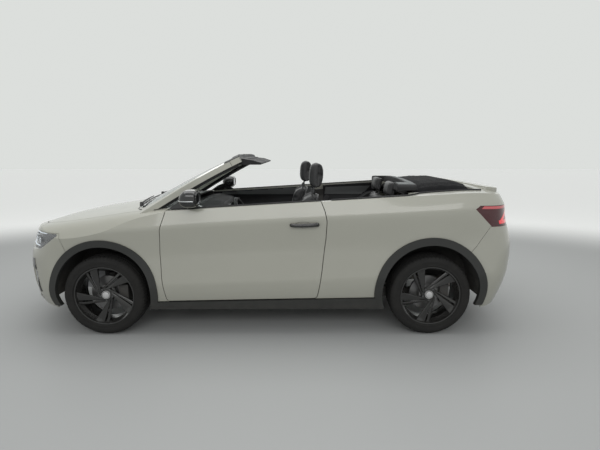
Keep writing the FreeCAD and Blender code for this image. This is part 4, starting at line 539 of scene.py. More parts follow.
# Front seats: foam cushions under black leather, with woven cloth in the middle panels. Seams
# and sewn channels hold the foam down. Hard shells and steel rails carry them.
COVER_BLACK = ((0.016, 0.016, 0.017), (0.024, 0.024, 0.025))
CLOTH_GREY = ((0.040, 0.041, 0.043), (0.062, 0.063, 0.066))
SEAT_VOXEL = 0.007
SEAT_CAP = 0.022
SWELL_PRESSURE, SWELL_FRAMES = 4.0, 20
# A pad's widest level as a share of its thickness, the power that squares its edge off, and the
# share of a bolster that its slope takes.
PAD_WAIST, PAD_SQUARED, BOLSTER_SLOPE = 0.35, 7, 0.45
SHARP_EDGE, CORNER_STEPS = math.radians(35), 5
# Distance from the middle of a seat's back down to its foot, and the back's lean and pivot.
BACK_FOOT = 0.37
LEAN_FRONT = math.radians(13)
FRONT_PIVOT = Vector((0.2203, 0.0, 0.3883))
SIDES = (("left", -1), ("right", 1))
# How far each seat is slid to the rear, the left one first.
SEAT_SIDE, SEAT_SLIDES = 0.370, (0.0, -0.078)

weave, weave_in, weave_out = effect(
    "cloth_weave", {"Threads": 420.0, "Slub": 0.35},
    {"Height": "NodeSocketFloat", "Shade": "NodeSocketFloat"})
weave_spot = node(weave, "ShaderNodeTexCoord")
weave_warp = node(
    weave, "ShaderNodeTexWave", {"bands_direction": "X"}, Vector=weave_spot.outputs["Object"],
    Scale=weave_in.outputs["Threads"], Distortion=0.6)
weave_weft = node(
    weave, "ShaderNodeTexWave", {"bands_direction": "DIAGONAL"},
    Vector=weave_spot.outputs["Object"], Scale=weave_in.outputs["Threads"], Distortion=0.6)
weave_slub = node(
    weave, "ShaderNodeTexNoise", Vector=weave_spot.outputs["Object"], Scale=160.0, Detail=3.0)
weave_cross = node(
    weave, "ShaderNodeMath", {"operation": "MULTIPLY"}, i0=weave_warp.outputs["Fac"],
    i1=weave_weft.outputs["Fac"])
weave_mixed = node(
    weave, "ShaderNodeMix", {"data_type": "FLOAT"}, i0=weave_in.outputs["Slub"],
    i2=weave_cross.outputs[0], i3=weave_slub.outputs["Fac"])
feed(weave, weave_out, Height=weave_mixed.outputs["Result"], Shade=weave_slub.outputs["Fac"])


def woven(material, threads, depth, shades):
    """Gives a material crossed threads with a slight change of shade."""
    tree = material.node_tree
    cloth = node(tree, "ShaderNodeGroup", {"node_tree": weave}, Threads=threads)
    bump = node(tree, "ShaderNodeBump", Height=cloth.outputs["Height"], Strength=1.0,
                Distance=depth)
    tint = node(tree, "ShaderNodeMix", {"data_type": "RGBA"}, Factor=cloth.outputs["Shade"],
                A=(*shades[0], 1), B=(*shades[1], 1))
    feed(tree, tree.nodes["Principled BSDF"], Base_Color=tint.outputs["Result"],
         Normal=bump.outputs["Normal"])
    return material


seat_leather = textured(
    surface("seat_leather", COVER_BLACK[0], 0.5),
    420.0, 0.0004, COVER_BLACK, (0.42, 0.58), cells=1.0)
seat_cloth = woven(
    surface("seat_cloth", CLOTH_GREY[0], 0.9, Sheen_Weight=0.3), 300.0, 0.0005, CLOTH_GREY)
seam_thread = textured(
    surface("seam_thread", (0.12, 0.12, 0.125), 0.7),
    900.0, 0.0002, ((0.10, 0.10, 0.105), (0.15, 0.15, 0.155)), (0.6, 0.8))
hard_trim = textured(
    surface("hard_trim", (0.022, 0.022, 0.023), 0.5),
    1200.0, 0.0001, ((0.018, 0.018, 0.019), (0.028, 0.028, 0.029)), (0.42, 0.58), cells=0.6)


def pad_form(size, bolster=(0, 0), pull=0.02, taper=0.0, crown=0.012, steps=26):
    """Closed pad along X with its face up: crowned, with raised sides, pulled in between corners.

    size is length, width and thickness. bolster is its rise and its share of the half width.
    """
    length, width, thick = size
    rise, share = bolster

    def make(bm):
        def spot(i, j, top):
            u, v = 2 * i / steps - 1, 2 * j / steps - 1
            x = length / 2 * u * (1 - pull * (1 - v * v))
            y = width / 2 * v * (1 - taper * (u + 1) / 2) * (1 - pull * (1 - u * u))
            edge = ((1 - abs(u) ** PAD_SQUARED) * (1 - abs(v) ** PAD_SQUARED)) ** 0.5
            lift = crown * (1 - u * u) * (1 - v * v)
            if share:
                side = min(max((abs(v) - (1 - share)) / (share * BOLSTER_SLOPE), 0), 1)
                lift += rise * side * side * (3 - 2 * side)
            waist = thick * PAD_WAIST
            high = waist + (thick - waist + lift) * edge
            return Vector((x, y, high if top else waist * (1 - edge)))

        grids = [[[bm.verts.new(spot(i, j, top)) for j in range(steps + 1)]
                  for i in range(steps + 1)] for top in (True, False)]
        for grid, way in zip(grids, (1, -1)):
            for i in range(steps):
                for j in range(steps):
                    loop = (grid[i][j], grid[i + 1][j], grid[i + 1][j + 1], grid[i][j + 1])
                    bm.faces.new(loop[::way])
        top, low = grids
        rim_spots = [(i, 0) for i in range(steps)] + [(steps, j) for j in range(steps)]
        rim_spots += [(i, steps) for i in range(steps, 0, -1)]
        rim_spots += [(0, j) for j in range(steps, 0, -1)]
        for one, other in zip(rim_spots, rim_spots[1:] + rim_spots[:1]):
            bm.faces.new((top[one[0]][one[1]], low[one[0]][one[1]], low[other[0]][other[1]],
                          top[other[0]][other[1]]))
    return make


def stuffed(name, make, grooves, voxel=SEAT_VOXEL, cap=SEAT_CAP, depth=0.007, reach=0.005):
    """A pad mesh swollen by a cloth simulation, then sewn down along grooves.

    grooves are functions that give a point's distance from a seam.
    """
    start = filled(name, make)
    scratch = bpy.data.objects.new(f"scratch_{name}", start)
    bpy.context.scene.collection.objects.link(scratch)
    remesh = scratch.modifiers.new("remesh", "REMESH")
    remesh.mode = "VOXEL"
    remesh.voxel_size = voxel
    remesh.use_smooth_shade = True
    graph = bpy.context.evaluated_depsgraph_get()
    even = bpy.data.meshes.new_from_object(scratch.evaluated_get(graph), depsgraph=graph)
    scratch.modifiers.clear()
    scratch.data = even
    before = [v.co.copy() for v in even.vertices]
    cloth = scratch.modifiers.new("swell", "CLOTH")
    cloth.settings.use_pressure = True
    cloth.settings.uniform_pressure_force = SWELL_PRESSURE
    cloth.settings.effector_weights.gravity = 0
    cloth.settings.quality = 4
    cloth.point_cache.frame_start = 1
    cloth.point_cache.frame_end = SWELL_FRAMES
    for number in range(1, SWELL_FRAMES + 1):
        bpy.context.scene.frame_set(number)
    graph = bpy.context.evaluated_depsgraph_get()
    swollen = bpy.data.meshes.new_from_object(scratch.evaluated_get(graph), depsgraph=graph)
    bpy.context.scene.frame_set(1)
    for vertex, old in zip(swollen.vertices, before):
        step = vertex.co - old
        if step.length > cap:
            vertex.co = old + step * (cap / step.length)
    scratch.modifiers.clear()
    scratch.data = swollen
    mesh = scratch.data
    bpy.data.objects.remove(scratch)
    sewn_in(mesh, grooves, depth, reach)
    mesh.name = name
    mesh.shade_smooth()
    return mesh


def sewn_in(mesh, grooves, depth, reach):
    """Pulls the cover in along each seam."""
    moves = []
    for vertex in mesh.vertices:
        near = min((groove(vertex.co) for groove in grooves), default=1.0)
        if near < 3 * reach:
            moves.append((vertex.index, vertex.normal * -depth * math.exp(-(near / reach) ** 2)))
    for index, step in moves:
        mesh.vertices[index].co += step


def seams(half, above, edge, channels=(), narrow=0.0, tuck=0.0):
    """Distances from a pad's seams: two along it, one round its edge, and channels across it.

    The middle panel is 2 * half wide at the pad's foot, and tuck less for each metre up it. Its
    channels are narrower by that much. Seams but the edge's lie above that height only.
    """
    def along(p):
        return abs(abs(p.y) - half + tuck * (p.x + BACK_FOOT)) + (0 if p.z > above else 1)

    def across(at):
        return lambda p: abs(p.x - at) + (0 if abs(p.y) < half - narrow and p.z > above else 1)
    return (along, *(across(at) for at in channels), lambda p: abs(p.z - edge))


def two_covers(mesh, inside):
    """Leather outside, and woven cloth on the faces whose middle lies inside."""
    mesh.materials.clear()
    mesh.materials.append(seat_leather)
    mesh.materials.append(seat_cloth)
    for face in mesh.polygons:
        face.material_index = 1 if inside(face.center) else 0


def shaped(spots, way, thick, round_off=0.004):
    """A plate of that outline, given as points in its own plane, with rounded edges.

    way turns a point (a, b, depth) into the car's frame.
    """
    def make(bm):
        front = [bm.verts.new(way(a, b, 0.0)) for a, b in spots]
        back = [bm.verts.new(way(a, b, thick)) for a, b in spots]
        bm.faces.new(front)
        bm.faces.new(list(reversed(back)))
        for k in range(len(spots)):
            after = (k + 1) % len(spots)
            bm.faces.new((front[after], front[k], back[k], back[after]))
        edges = [e for e in bm.edges if len(e.link_faces) == 2
                 and e.calc_face_angle(0) > SHARP_EDGE]
        bmesh.ops.bevel(bm, geom=edges, offset=round_off, segments=2, profile=0.5,
                        affect="EDGES", clamp_overlap=True)
    return make


def swept(spots, radius, steps=12, closed=False):
    """A round rod along those points. radius is a value, or a function of the share of the way."""
    def make(bm):
        points = [Vector(spot) for spot in spots]
        last = len(points) - 1
        rings = []
        side = None
        for k, point in enumerate(points):
            if closed:
                along = (points[(k + 1) % len(points)] - points[k - 1]).normalized()
            else:
                along = (points[min(k + 1, last)] - points[max(k - 1, 0)]).normalized()
            if side is None:
                side = along.orthogonal().normalized()
            side = (side - along * side.dot(along)).normalized()
            other = along.cross(side)
            size = radius(k / last) if callable(radius) else radius
            rings.append([bm.verts.new(point + size * (side * math.cos(t) + other * math.sin(t)))
                          for t in around(steps)])
        joined(bm, rings, closed, capped=0 if closed else 1)
    return make


def several(*makes):
    """All of those shapes in one mesh."""
    def make(bm):
        for one in makes:
            one(bm)
    return make


def rounded_outline(a0, a1, b0, b1, radius):
    """Corners of a rectangle rounded off."""
    spots = []
    for a, b, start in ((a1, b1, 0), (a0, b1, 90), (a0, b0, 180), (a1, b0, 270)):
        a += math.copysign(radius, (a0 + a1) / 2 - a)
        b += math.copysign(radius, (b0 + b1) / 2 - b)
        for k in range(CORNER_STEPS + 1):
            turn = math.radians(start + 90 * k / CORNER_STEPS)
            spots.append((a + radius * math.cos(turn), b + radius * math.sin(turn)))
    return spots


def leant(pivot, lean):
    """A pad's own frame (up the back, across, out of its face) placed on a leaning back."""
    up = Vector((math.sin(lean), 0, math.cos(lean)))
    out = Vector((-math.cos(lean), 0, math.sin(lean)))
    aside = Vector((0, 1, 0))
    turn = Matrix((up, aside, out)).transposed().to_4x4()
    return Matrix.Translation(pivot) @ turn


CUSHION_SIZE = (0.478, 0.486, 0.104)
BACK_SIZE = (0.735, 0.458, 0.078)
REST_SIZE = (0.216, 0.268, 0.100)
CUSHION_MIDDLE, CUSHION_LOW = 0.0375, 0.3240
CUSHION_PANEL, BACK_PANEL, BACK_TUCK = 0.158, 0.150, 0.05
BACK_UP, BACK_SUNK = 0.385, 0.030
HEADREST_LEAN = math.radians(4)
cushion_mesh = stuffed(
    "seat_cushion", pad_form(CUSHION_SIZE, (0.030, 0.30), 0.02),
    seams(CUSHION_PANEL, 0.05, 0.040, (-0.115, -0.010, 0.095)))
two_covers(cushion_mesh, lambda p: abs(p.y) < CUSHION_PANEL and p.z > 0.06 and -0.2 < p.x)
back_mesh = stuffed(
    "seat_back", pad_form(BACK_SIZE, (0.034, 0.28), 0.015, taper=0.14),
    seams(BACK_PANEL, 0.04, 0.030, (0.180, 0.060, -0.060), 0.010, BACK_TUCK))
two_covers(back_mesh, lambda p: abs(p.y) < BACK_PANEL - BACK_TUCK * (p.x + BACK_FOOT)
           and p.z > 0.05 and p.x < 0.27)
rest_mesh = stuffed(
    "headrest_pad", pad_form(REST_SIZE, (0, 0), 0.03, crown=0.006, steps=18),
    seams(0.090, 0.03, 0.032), voxel=0.006, cap=0.012, depth=0.005, reach=0.004)

HEADREST_FOOT = 1.183
HEADREST_MIDDLE = Vector((0.4120, 0.0, 1.270))
POST_SIDE = 0.070
SHELL_OUTLINE = [(0.02, -0.205), (0.50, -0.212), (0.66, -0.195), (0.735, -0.150), (0.745, 0.0),
                 (0.735, 0.150), (0.66, 0.195), (0.50, 0.212), (0.02, 0.205), (-0.02, 0.12),
                 (-0.02, -0.12)]
SIDE_COVER = [(-0.185, 0.262), (0.200, 0.255), (0.268, 0.300), (0.275, 0.400), (0.235, 0.415),
              (0.190, 0.352), (-0.150, 0.335), (-0.200, 0.305)]
RAIL_OUTLINE = [(-0.190, -0.004), (0.250, -0.004), (0.262, 0.006), (0.250, 0.022),
                (-0.190, 0.026), (-0.200, 0.008)]
RAIL_LOW, RAIL_WIDTH, RAIL_SIDES = 0.2310, 0.034, (-0.190, 0.156)
SHELL_SUNK, SHELL_BOW = 0.022, 0.020


def seat_shell(slid):
    """Shell behind the back, cushion pan and its two side covers."""
    frame_back = leant(FRONT_PIVOT, LEAN_FRONT)

    def on_back(a, b, depth):
        bowed = SHELL_BOW * (1 - (b / 0.22) ** 2)
        return frame_back @ Vector((a, b, -SHELL_SUNK - depth - bowed)) + Vector((slid, 0, 0))
    pan = shaped(rounded_outline(-0.170, 0.255, -0.195, 0.195, 0.04),
                 lambda a, b, depth: Vector((a + slid, b, 0.325 - depth)), 0.062, 0.01)
    return several(shaped(SHELL_OUTLINE, on_back, 0.016, 0.006), pan, *(
        shaped(SIDE_COVER, lambda a, b, depth, side=side: Vector((
            a + slid, side * (0.228 + depth), b)), 0.018, 0.006) for side in (-1, 1)))


def seat_rails(slid):
    """Two rails that the seat slides along."""
    return several(*(
        shaped(RAIL_OUTLINE, lambda a, b, depth, y=y: Vector((a + slid, y + depth, RAIL_LOW + b)),
               RAIL_WIDTH, 0.003) for y in RAIL_SIDES))


def up_the_back(reach, slid):
    """A point that far up the back's leaning face."""
    return FRONT_PIVOT + Vector((math.sin(LEAN_FRONT) * reach + slid, 0,
                                 math.cos(LEAN_FRONT) * reach))


def seat_posts(slid):
    """Two steel posts from the back's top into the headrest."""
    foot = up_the_back(0.70, slid)
    return several(*(
        swept(((foot.x, side, foot.z), (foot.x + 0.012, side, foot.z + 0.055),
               (HEADREST_MIDDLE.x + slid - 0.010, side, HEADREST_FOOT - 0.01),
               (HEADREST_MIDDLE.x + slid - 0.005, side, HEADREST_FOOT + 0.06)), 0.0062)
        for side in (-POST_SIDE, POST_SIDE)))


def post_collars(slid):
    """Plastic guides for the posts on the back's top."""
    top = up_the_back(0.762, slid)
    return several(*(
        swept(((top.x - 0.004, side, top.z - 0.012), (top.x, side, top.z + 0.004),
               (top.x + 0.002, side, top.z + 0.011)),
              lambda share: 0.0165 - 0.004 * share ** 3, 16)
        for side in (-POST_SIDE, POST_SIDE)))


for (side_name, side), slid in zip(SIDES, SEAT_SLIDES):
    y = side * SEAT_SIDE
    cushion = placed(f"seat_cushion_{side_name}", cushion_mesh.copy(), "body", "seat_cover",
                     spot=(CUSHION_MIDDLE + slid, y, CUSHION_LOW))
    back = placed(
        f"seat_back_{side_name}", back_mesh.copy(), "body", "seat_cover",
        place=Matrix.Translation((slid, y, 0)) @ leant(FRONT_PIVOT, LEAN_FRONT)
        @ Matrix.Translation((BACK_UP, 0, -BACK_SUNK)))
    headrest = placed(
        f"headrest_{side_name}", rest_mesh.copy(), "body", "seat_cover", seat_leather,
        place=Matrix.Translation((HEADREST_MIDDLE.x + slid + 0.052, y, HEADREST_MIDDLE.z))
        @ leant(Vector((0, 0, 0)), HEADREST_LEAN))
    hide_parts(f"front_seat_{side_name}")
    for label, make, material, smooth in (
            ("seat_shell", seat_shell, hard_trim, 30),
            ("seat_rails", seat_rails, coated_steel, 30),
            ("headrest_posts", seat_posts, bolt_steel, 40),
            ("headrest_guides", post_collars, hard_trim, 40)):
        built(f"{label}_{side_name}", make(slid), "body", "interior_trim", material, smooth,
              spot=(0, y, 0))

# Rear bench: two moulded places under one cover, each with a woven middle, and a back in two
# halves. Its low headrests are foam on short posts.
BENCH_PIVOT = Vector((1.0025, 0.0, 0.4383))
LEAN_REAR = math.radians(10)
BENCH_SIZE = (0.400, 0.560, 0.110)
HALF_BACK_SIZE = (0.600, 0.560, 0.060)
REAR_REST_SIZE = (0.128, 0.258, 0.070)
BENCH_SIDE = 0.292
BENCH_SPOT, HALF_BACK_SPOT = (0.855, 0.350), (0.325, -0.022)
BENCH_PANEL, HALF_BACK_PANEL = 0.190, 0.185
REAR_REST_SPOT, REAR_REST_SIDE = (1.1230, 1.1420), 0.310
REAR_POST, REAR_POST_SIDE = ((1.098, 1.035), (1.106, 1.070), (1.112, 1.110)), 0.068

bench_mesh = stuffed(
    "bench_cushion", pad_form(BENCH_SIZE, (0.016, 0.26), 0.012, steps=22),
    seams(BENCH_PANEL, 0.05, 0.042, (-0.060, 0.060)), cap=0.014)
two_covers(bench_mesh, lambda p: abs(p.y) < BENCH_PANEL and p.z > 0.06)
half_back_mesh = stuffed(
    "bench_back", pad_form(HALF_BACK_SIZE, (0.016, 0.26), 0.010, steps=22),
    seams(HALF_BACK_PANEL, 0.03, 0.026, (0.140, 0.020)), cap=0.012)
two_covers(half_back_mesh, lambda p: abs(p.y) < HALF_BACK_PANEL and p.z > 0.035 and p.x < 0.22)
rear_rest_mesh = stuffed(
    "rear_headrest_pad", pad_form(REAR_REST_SIZE, (0, 0), 0.02, crown=0.005, steps=16),
    seams(0.092, 0.03, 0.028), voxel=0.006, cap=0.010, depth=0.004, reach=0.004)

for side_name, side in SIDES:
    cushion = placed(f"bench_cushion_{side_name}", bench_mesh.copy(), "body", "seat_cover",
                     spot=(BENCH_SPOT[0], side * BENCH_SIDE, BENCH_SPOT[1]))
    back = placed(
        f"bench_back_{side_name}", half_back_mesh.copy(), "body", "seat_cover",
        place=Matrix.Translation((0, side * BENCH_SIDE, 0)) @ leant(BENCH_PIVOT, LEAN_REAR)
        @ Matrix.Translation((HALF_BACK_SPOT[0], 0, HALF_BACK_SPOT[1])))
    rest_spot = Vector((REAR_REST_SPOT[0], side * REAR_REST_SIDE, REAR_REST_SPOT[1]))
    rest = placed(f"rear_headrest_{side_name}", rear_rest_mesh.copy(), "body", "seat_cover",
                  seat_leather, place=leant(rest_spot, LEAN_REAR))
    if side < 0:
        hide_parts("rear_seat")
    posts = several(*(swept([(x, side * REAR_REST_SIDE + aside, z) for x, z in REAR_POST], 0.0060)
                      for aside in (-REAR_POST_SIDE, REAR_POST_SIDE)))
    built(f"rear_headrest_posts_{side_name}", posts, "body", "disc", bolt_steel, 40)

# Folded soft top: a lined cloth roof on folding bows, laid back in its well behind the bench.
# What shows is the cloth, drawn tight over the bows and creased along its tucked-in sides.
SOFT_START, SOFT_END = 1.174, 1.738
SOFT_HALF = 0.628
SOFT_FOOT = 1.080
SOFT_RISE = 0.150
SOFT_PROFILE = ((0, 0.22), (0.06, 0.42), (0.14, 0.66), (0.24, 0.86), (0.40, 0.955), (0.60, 1.0),
                (0.80, 0.985), (0.92, 0.88), (0.975, 0.62), (1, 0.10))
SOFT_DROP = ((0, 0), (0.40, 0), (0.70, 0.05), (0.86, 0.17), (0.95, 0.45), (1, 1))
SOFT_BOWS = (0.30, 0.52, 0.74)
SOFT_STEPS, SOFT_ACROSS = 60, 64
SOFT_SAG, SOFT_CREASE, SOFT_TUCK = 0.0045, 0.0028, 0.045
# Width of the ridge over a bow, how far the sides are drawn in, and the creases along them: their
# place and width, and how often they come along the car and across it.
SOFT_RIDGE, SOFT_DRAWN = 0.035, 0.012
CREASE_AT, CREASE_WIDE, CREASE_WAVES = 0.88, 0.09, (38, 9)
BOW_SHARES = (-1, -0.95, -0.88, -0.75, -0.5, 0, 0.5, 0.75, 0.88, 0.95, 1)
LINK_SPOTS = ((1.205, 0.585, 1.02), (1.42, 0.590, 1.045), (1.70, 0.585, 1.035))
FLAP_START, FLAP_LONG, FLAP_STEPS = 1.10, 0.64, 24
FLAP_SECTION = ((0.618, 1.060), (0.626, 1.078), (0.640, 1.086), (0.664, 1.087), (0.676, 1.080),
                (0.676, 1.066), (0.640, 1.060))


def between(stations, share, eased=False):
    """Value at that share of a table of (share, value) pairs."""
    for (a, low), (b, high) in zip(stations, stations[1:]):
        if share <= b:
            part = (share - a) / (b - a)
            if eased:
                part = part * part * (3 - 2 * part)
            return low + (high - low) * part
    return stations[-1][1]


def folded_cloth(bm):
    """The cloth from its front fold to its rear edge, tucked in at both sides."""
    rows = []
    for i in range(SOFT_STEPS + 1):
        share = i / SOFT_STEPS
        rise = SOFT_RISE * between(SOFT_PROFILE, share)
        bow = sum(math.exp(-((share - at) / SOFT_RIDGE) ** 2) for at in SOFT_BOWS)
        row = []
        for j in range(SOFT_ACROSS + 1):
            v = 2 * j / SOFT_ACROSS - 1
            drop = between(SOFT_DROP, abs(v), eased=True)
            sag = SOFT_SAG * (bow - 0.5) * (1 - drop)
            edge = math.exp(-((abs(v) - CREASE_AT) / CREASE_WIDE) ** 2)
            crease = SOFT_CREASE * edge * math.sin(
                CREASE_WAVES[0] * share + CREASE_WAVES[1] * v * v)
            row.append(bm.verts.new((
                SOFT_START + share * (SOFT_END - SOFT_START) + SOFT_DRAWN * drop * (share - 0.5),
                v * SOFT_HALF * (1 - SOFT_DRAWN * drop),
                SOFT_FOOT + rise * (1 - drop) - SOFT_TUCK * drop + sag + crease)))
        rows.append(row)
    joined(bm, rows, open_rows=True)


roof_cloth = woven(
    surface("roof_cloth", (0.008, 0.008, 0.009), 0.92, Specular_IOR_Level=0.2),
    260.0, 0.0006, ((0.006, 0.006, 0.007), (0.012, 0.012, 0.013)))
cloth_mesh = filled("folded_soft_top", folded_cloth, 60)
folded_top = placed("folded_soft_top", cloth_mesh, "body", "roof_cloth", roof_cloth)
lined = folded_top.modifiers.new("lined", "SOLIDIFY")
lined.thickness = 0.005
lined.offset = -1
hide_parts("soft_top")


def bow_rods(bm):
    """Three bows under the cloth and the two links that carry them at each side."""
    for at in SOFT_BOWS:
        x = SOFT_START + at * (SOFT_END - SOFT_START)
        rise = SOFT_RISE * between(SOFT_PROFILE, at)
        swept([(x, v * SOFT_HALF * 0.955, SOFT_FOOT + rise - 0.014
                - (rise + 0.03) * between(SOFT_DROP, abs(v), eased=True)) for v in BOW_SHARES],
              0.006, 8)(bm)
    for side in (-1, 1):
        for rise in (0.0, 0.03):
            swept([(x, side * y, z + rise) for x, y, z in LINK_SPOTS], 0.007, 8)(bm)


built("roof_bows", bow_rods, "body", "chassis", coated_steel, 40)


def side_flap(side):
    """Plastic flap that closes the gap between the folded cloth and the body's side."""
    return lambda bm: joined(bm, [
        [bm.verts.new((FLAP_START + share * FLAP_LONG, side * y,
                       z + 0.004 * math.sin(math.pi * share))) for y, z in FLAP_SECTION]
        for share in (i / FLAP_STEPS for i in range(FLAP_STEPS + 1))], capped=-1)


for side_name, side in SIDES:
    built(f"roof_side_flap_{side_name}", side_flap(side), "body", "interior_trim", hard_trim)

# Front section of the folded roof: a stiff shell lined with light grey cloth on what is now its
# upper face, between dark rubber edges that seal it to the header when the roof is shut.
DOWN, ABOVE = Vector((0, 0, -1)), 1.30
# Longest side or diagonal of a face that is laid on a surface. A longer one spans a gap.
PATCH_STEP = 0.08
LINING_PATCHES = ((1.196, 1.240, -0.584, 0.584), (1.098, 1.196, 0.470, 0.584),
                  (1.098, 1.196, -0.584, -0.470))
roof_lining = woven(
    surface("roof_lining", (0.16, 0.17, 0.17), 0.9, Specular_IOR_Level=0.3),
    420.0, 0.0003, ((0.14, 0.15, 0.15), (0.18, 0.19, 0.19)))
edge_rubber = textured(
    surface("edge_rubber", (0.014, 0.014, 0.015), 0.75),
    700.0, 0.0001, ((0.011, 0.011, 0.012), (0.019, 0.019, 0.02)), (0.65, 0.85), cells=0.5)
finish(edge_rubber, "roof_front_section")


def surface_tree(*names):
    """A ray tracer for those CAD nodes together."""
    spots, faces = [], []
    for name in names:
        source = nodes[name].data
        start = len(spots)
        spots += [tuple(v.co) for v in source.vertices]
        faces += [tuple(start + k for k in face.vertices) for face in source.polygons]
    return BVHTree.FromPolygons(spots, faces)


def on_surface(tree, direction, spots, lift=0.0):
    """Points where rays from those spots meet CAD surfaces, lifted off them."""
    way = Vector(direction).normalized()
    hits = [tree.ray_cast(Vector(spot), way)[0] for spot in spots]
    return [hit - way * lift for hit in hits if hit]


def draped(tree, direction, corners, steps, lift, thick=0.0):
    """A patch laid on CAD surfaces: rays go that way from inside four corners."""
    way = Vector(direction).normalized()
    a, b, c, d = (Vector(corner) for corner in corners)

    def make(bm):
        grid = []
        for u in (i / steps[0] for i in range(steps[0] + 1)):
            row = [on_surface(tree, way, [a.lerp(b, u).lerp(d.lerp(c, u), j / steps[1])], lift)
                   for j in range(steps[1] + 1)]
            grid.append([bm.verts.new(hit[0]) if hit else None for hit in row])
        made = []
        for one, other in zip(grid, grid[1:]):
            for j in range(steps[1]):
                loop = (one[j], other[j], other[j + 1], one[j + 1])
                if None not in loop and max(
                        (p.co - q.co).length for p in loop for q in loop) < PATCH_STEP:
                    made.append(bm.faces.new(loop))
        if thick and made:
            solid = bmesh.ops.extrude_face_region(bm, geom=made)
            bmesh.ops.translate(
                bm, vec=way * thick,
                verts=[v for v in solid["geom"] if isinstance(v, bmesh.types.BMVert)])
        loose = [v for v in bm.verts if not v.link_faces]
        bmesh.ops.delete(bm, geom=loose, context="VERTS")
    return make


section_tree = surface_tree("roof_front_section")
lining_patches = several(*(
    draped(section_tree, DOWN, [(x0, y0, ABOVE), (x0, y1, ABOVE), (x1, y1, ABOVE),
                                (x1, y0, ABOVE)], (30, 6), 0.0025)
    for x0, x1, y0, y1 in LINING_PATCHES))
lining = built("roof_front_lining", lining_patches, "body", "roof_panel", roof_lining)
lining.modifiers.new("cloth", "SOLIDIFY").thickness = 0.002

# Headlamps: a clear moulded cover over a black housing with three lens modules and a light strip
# above and below them. The CAD solid is the cover, so the housing and modules are set inside it.
HEADLAMP_WAY = (0.72, 0.69)
HEADLAMP_START = (-2.35, 1.05)
HOUSING_CORNERS = ((-0.50, 0.68), (0.45, 0.68), (0.45, 0.86), (-0.50, 0.86))
LENS_SPOTS, LENS_HEIGHT, LENS_RADIUS = (-0.085, 0.045, 0.150), 0.775, 0.026
STRIP_HEIGHTS = ((0.823, 0.826, 0.829, 0.831, 0.833, 0.835),
                 (0.738, 0.735, 0.732, 0.731, 0.731, 0.732))
STRIP_START, STRIP_STEP = -0.20, 0.09
# Sections of a lens module, as (distance towards the front, share of its radius).
BOWL_SECTION = ((-0.012, 0.6), (0.0, 1.0), (0.006, 1.06), (0.008, 1.02), (0.004, 0.93),
                (-0.006, 0.78))
DOME_SECTION = ((-0.006, 0.80), (0.002, 0.76), (0.008, 0.58), (0.011, 0.30), (0.0118, 0.05))
lamp_cover = surface("lamp_cover", (0.90, 0.93, 0.95), 0.04, Alpha=0.16, Coat_Weight=1.0,
                     Coat_Roughness=0.02)
lamp_black = textured(
    surface("lamp_black", (0.010, 0.010, 0.011), 0.25),
    500.0, 0.00005, ((0.008, 0.008, 0.009), (0.016, 0.016, 0.017)), (0.2, 0.32))
lamp_white = textured(
    surface("lamp_white", (0.75, 0.80, 0.86), 0.25, Emission_Color=(0.80, 0.90, 1.0, 1),
            Emission_Strength=0.35),
    700.0, 0.00005, ((0.70, 0.76, 0.84), (0.82, 0.86, 0.90)), (0.2, 0.3))
lens_chrome = textured(
    surface("lens_chrome", (0.62, 0.64, 0.66), 0.14, Metallic=1.0),
    600.0, 0.00003, ((0.58, 0.60, 0.62), (0.68, 0.70, 0.72)), (0.1, 0.2))
lens_glass = surface("lens_glass", (0.70, 0.78, 0.86), 0.03, Alpha=0.55, Coat_Weight=1.0)
finish(lamp_cover, "headlamps")
headlamp_tree = surface_tree("headlamps")


def turned_on(middle, way, section):
    """That section, turned round an axis that goes through middle the given way."""
    out = Vector(way).normalized()
    side = out.orthogonal().normalized()
    other = out.cross(side)
    return lambda bm: joined(bm, [
        [bm.verts.new(middle + out * along + LENS_RADIUS * share * (
            side * math.cos(t) + other * math.sin(t))) for t in around(28)]
        for along, share in section], capped=1)


for side_name, side in SIDES:
    way = Vector((HEADLAMP_WAY[0], -side * HEADLAMP_WAY[1], 0)).normalized()
    across = Vector((HEADLAMP_WAY[1], side * HEADLAMP_WAY[0], 0)).normalized()
    start = Vector((HEADLAMP_START[0], side * HEADLAMP_START[1], 0))

    def lamp_spots(pairs):
        """Points before the lamp, at each (distance across it, height)."""
        return [start + across * u + Vector((0, 0, z)) for u, z in pairs]
    housing = draped(headlamp_tree, way, lamp_spots(HOUSING_CORNERS), (120, 30), -0.024)
    built(f"headlamp_housing_{side_name}", housing, "body", "gloss_black", lamp_black)
    middles = on_surface(headlamp_tree, way, lamp_spots(
        (u, LENS_HEIGHT) for u in LENS_SPOTS), -0.017)
    for label, section, material, smooth in (("bowls", BOWL_SECTION, lens_chrome, 40),
                                             ("lenses", DOME_SECTION, lens_glass, 50)):
        built(f"headlamp_{label}_{side_name}",
              several(*(turned_on(middle, -way, section) for middle in middles)), "body",
              "lamp_clear", material, smooth)
    strips = [swept(on_surface(headlamp_tree, way, lamp_spots(
        (STRIP_START + STRIP_STEP * k, z) for k, z in enumerate(heights)), -0.009), 0.0042, 8)
        for heights in STRIP_HEIGHTS]
    built(f"headlamp_strips_{side_name}", several(*strips), "body", "lamp_clear", lamp_white, 40)

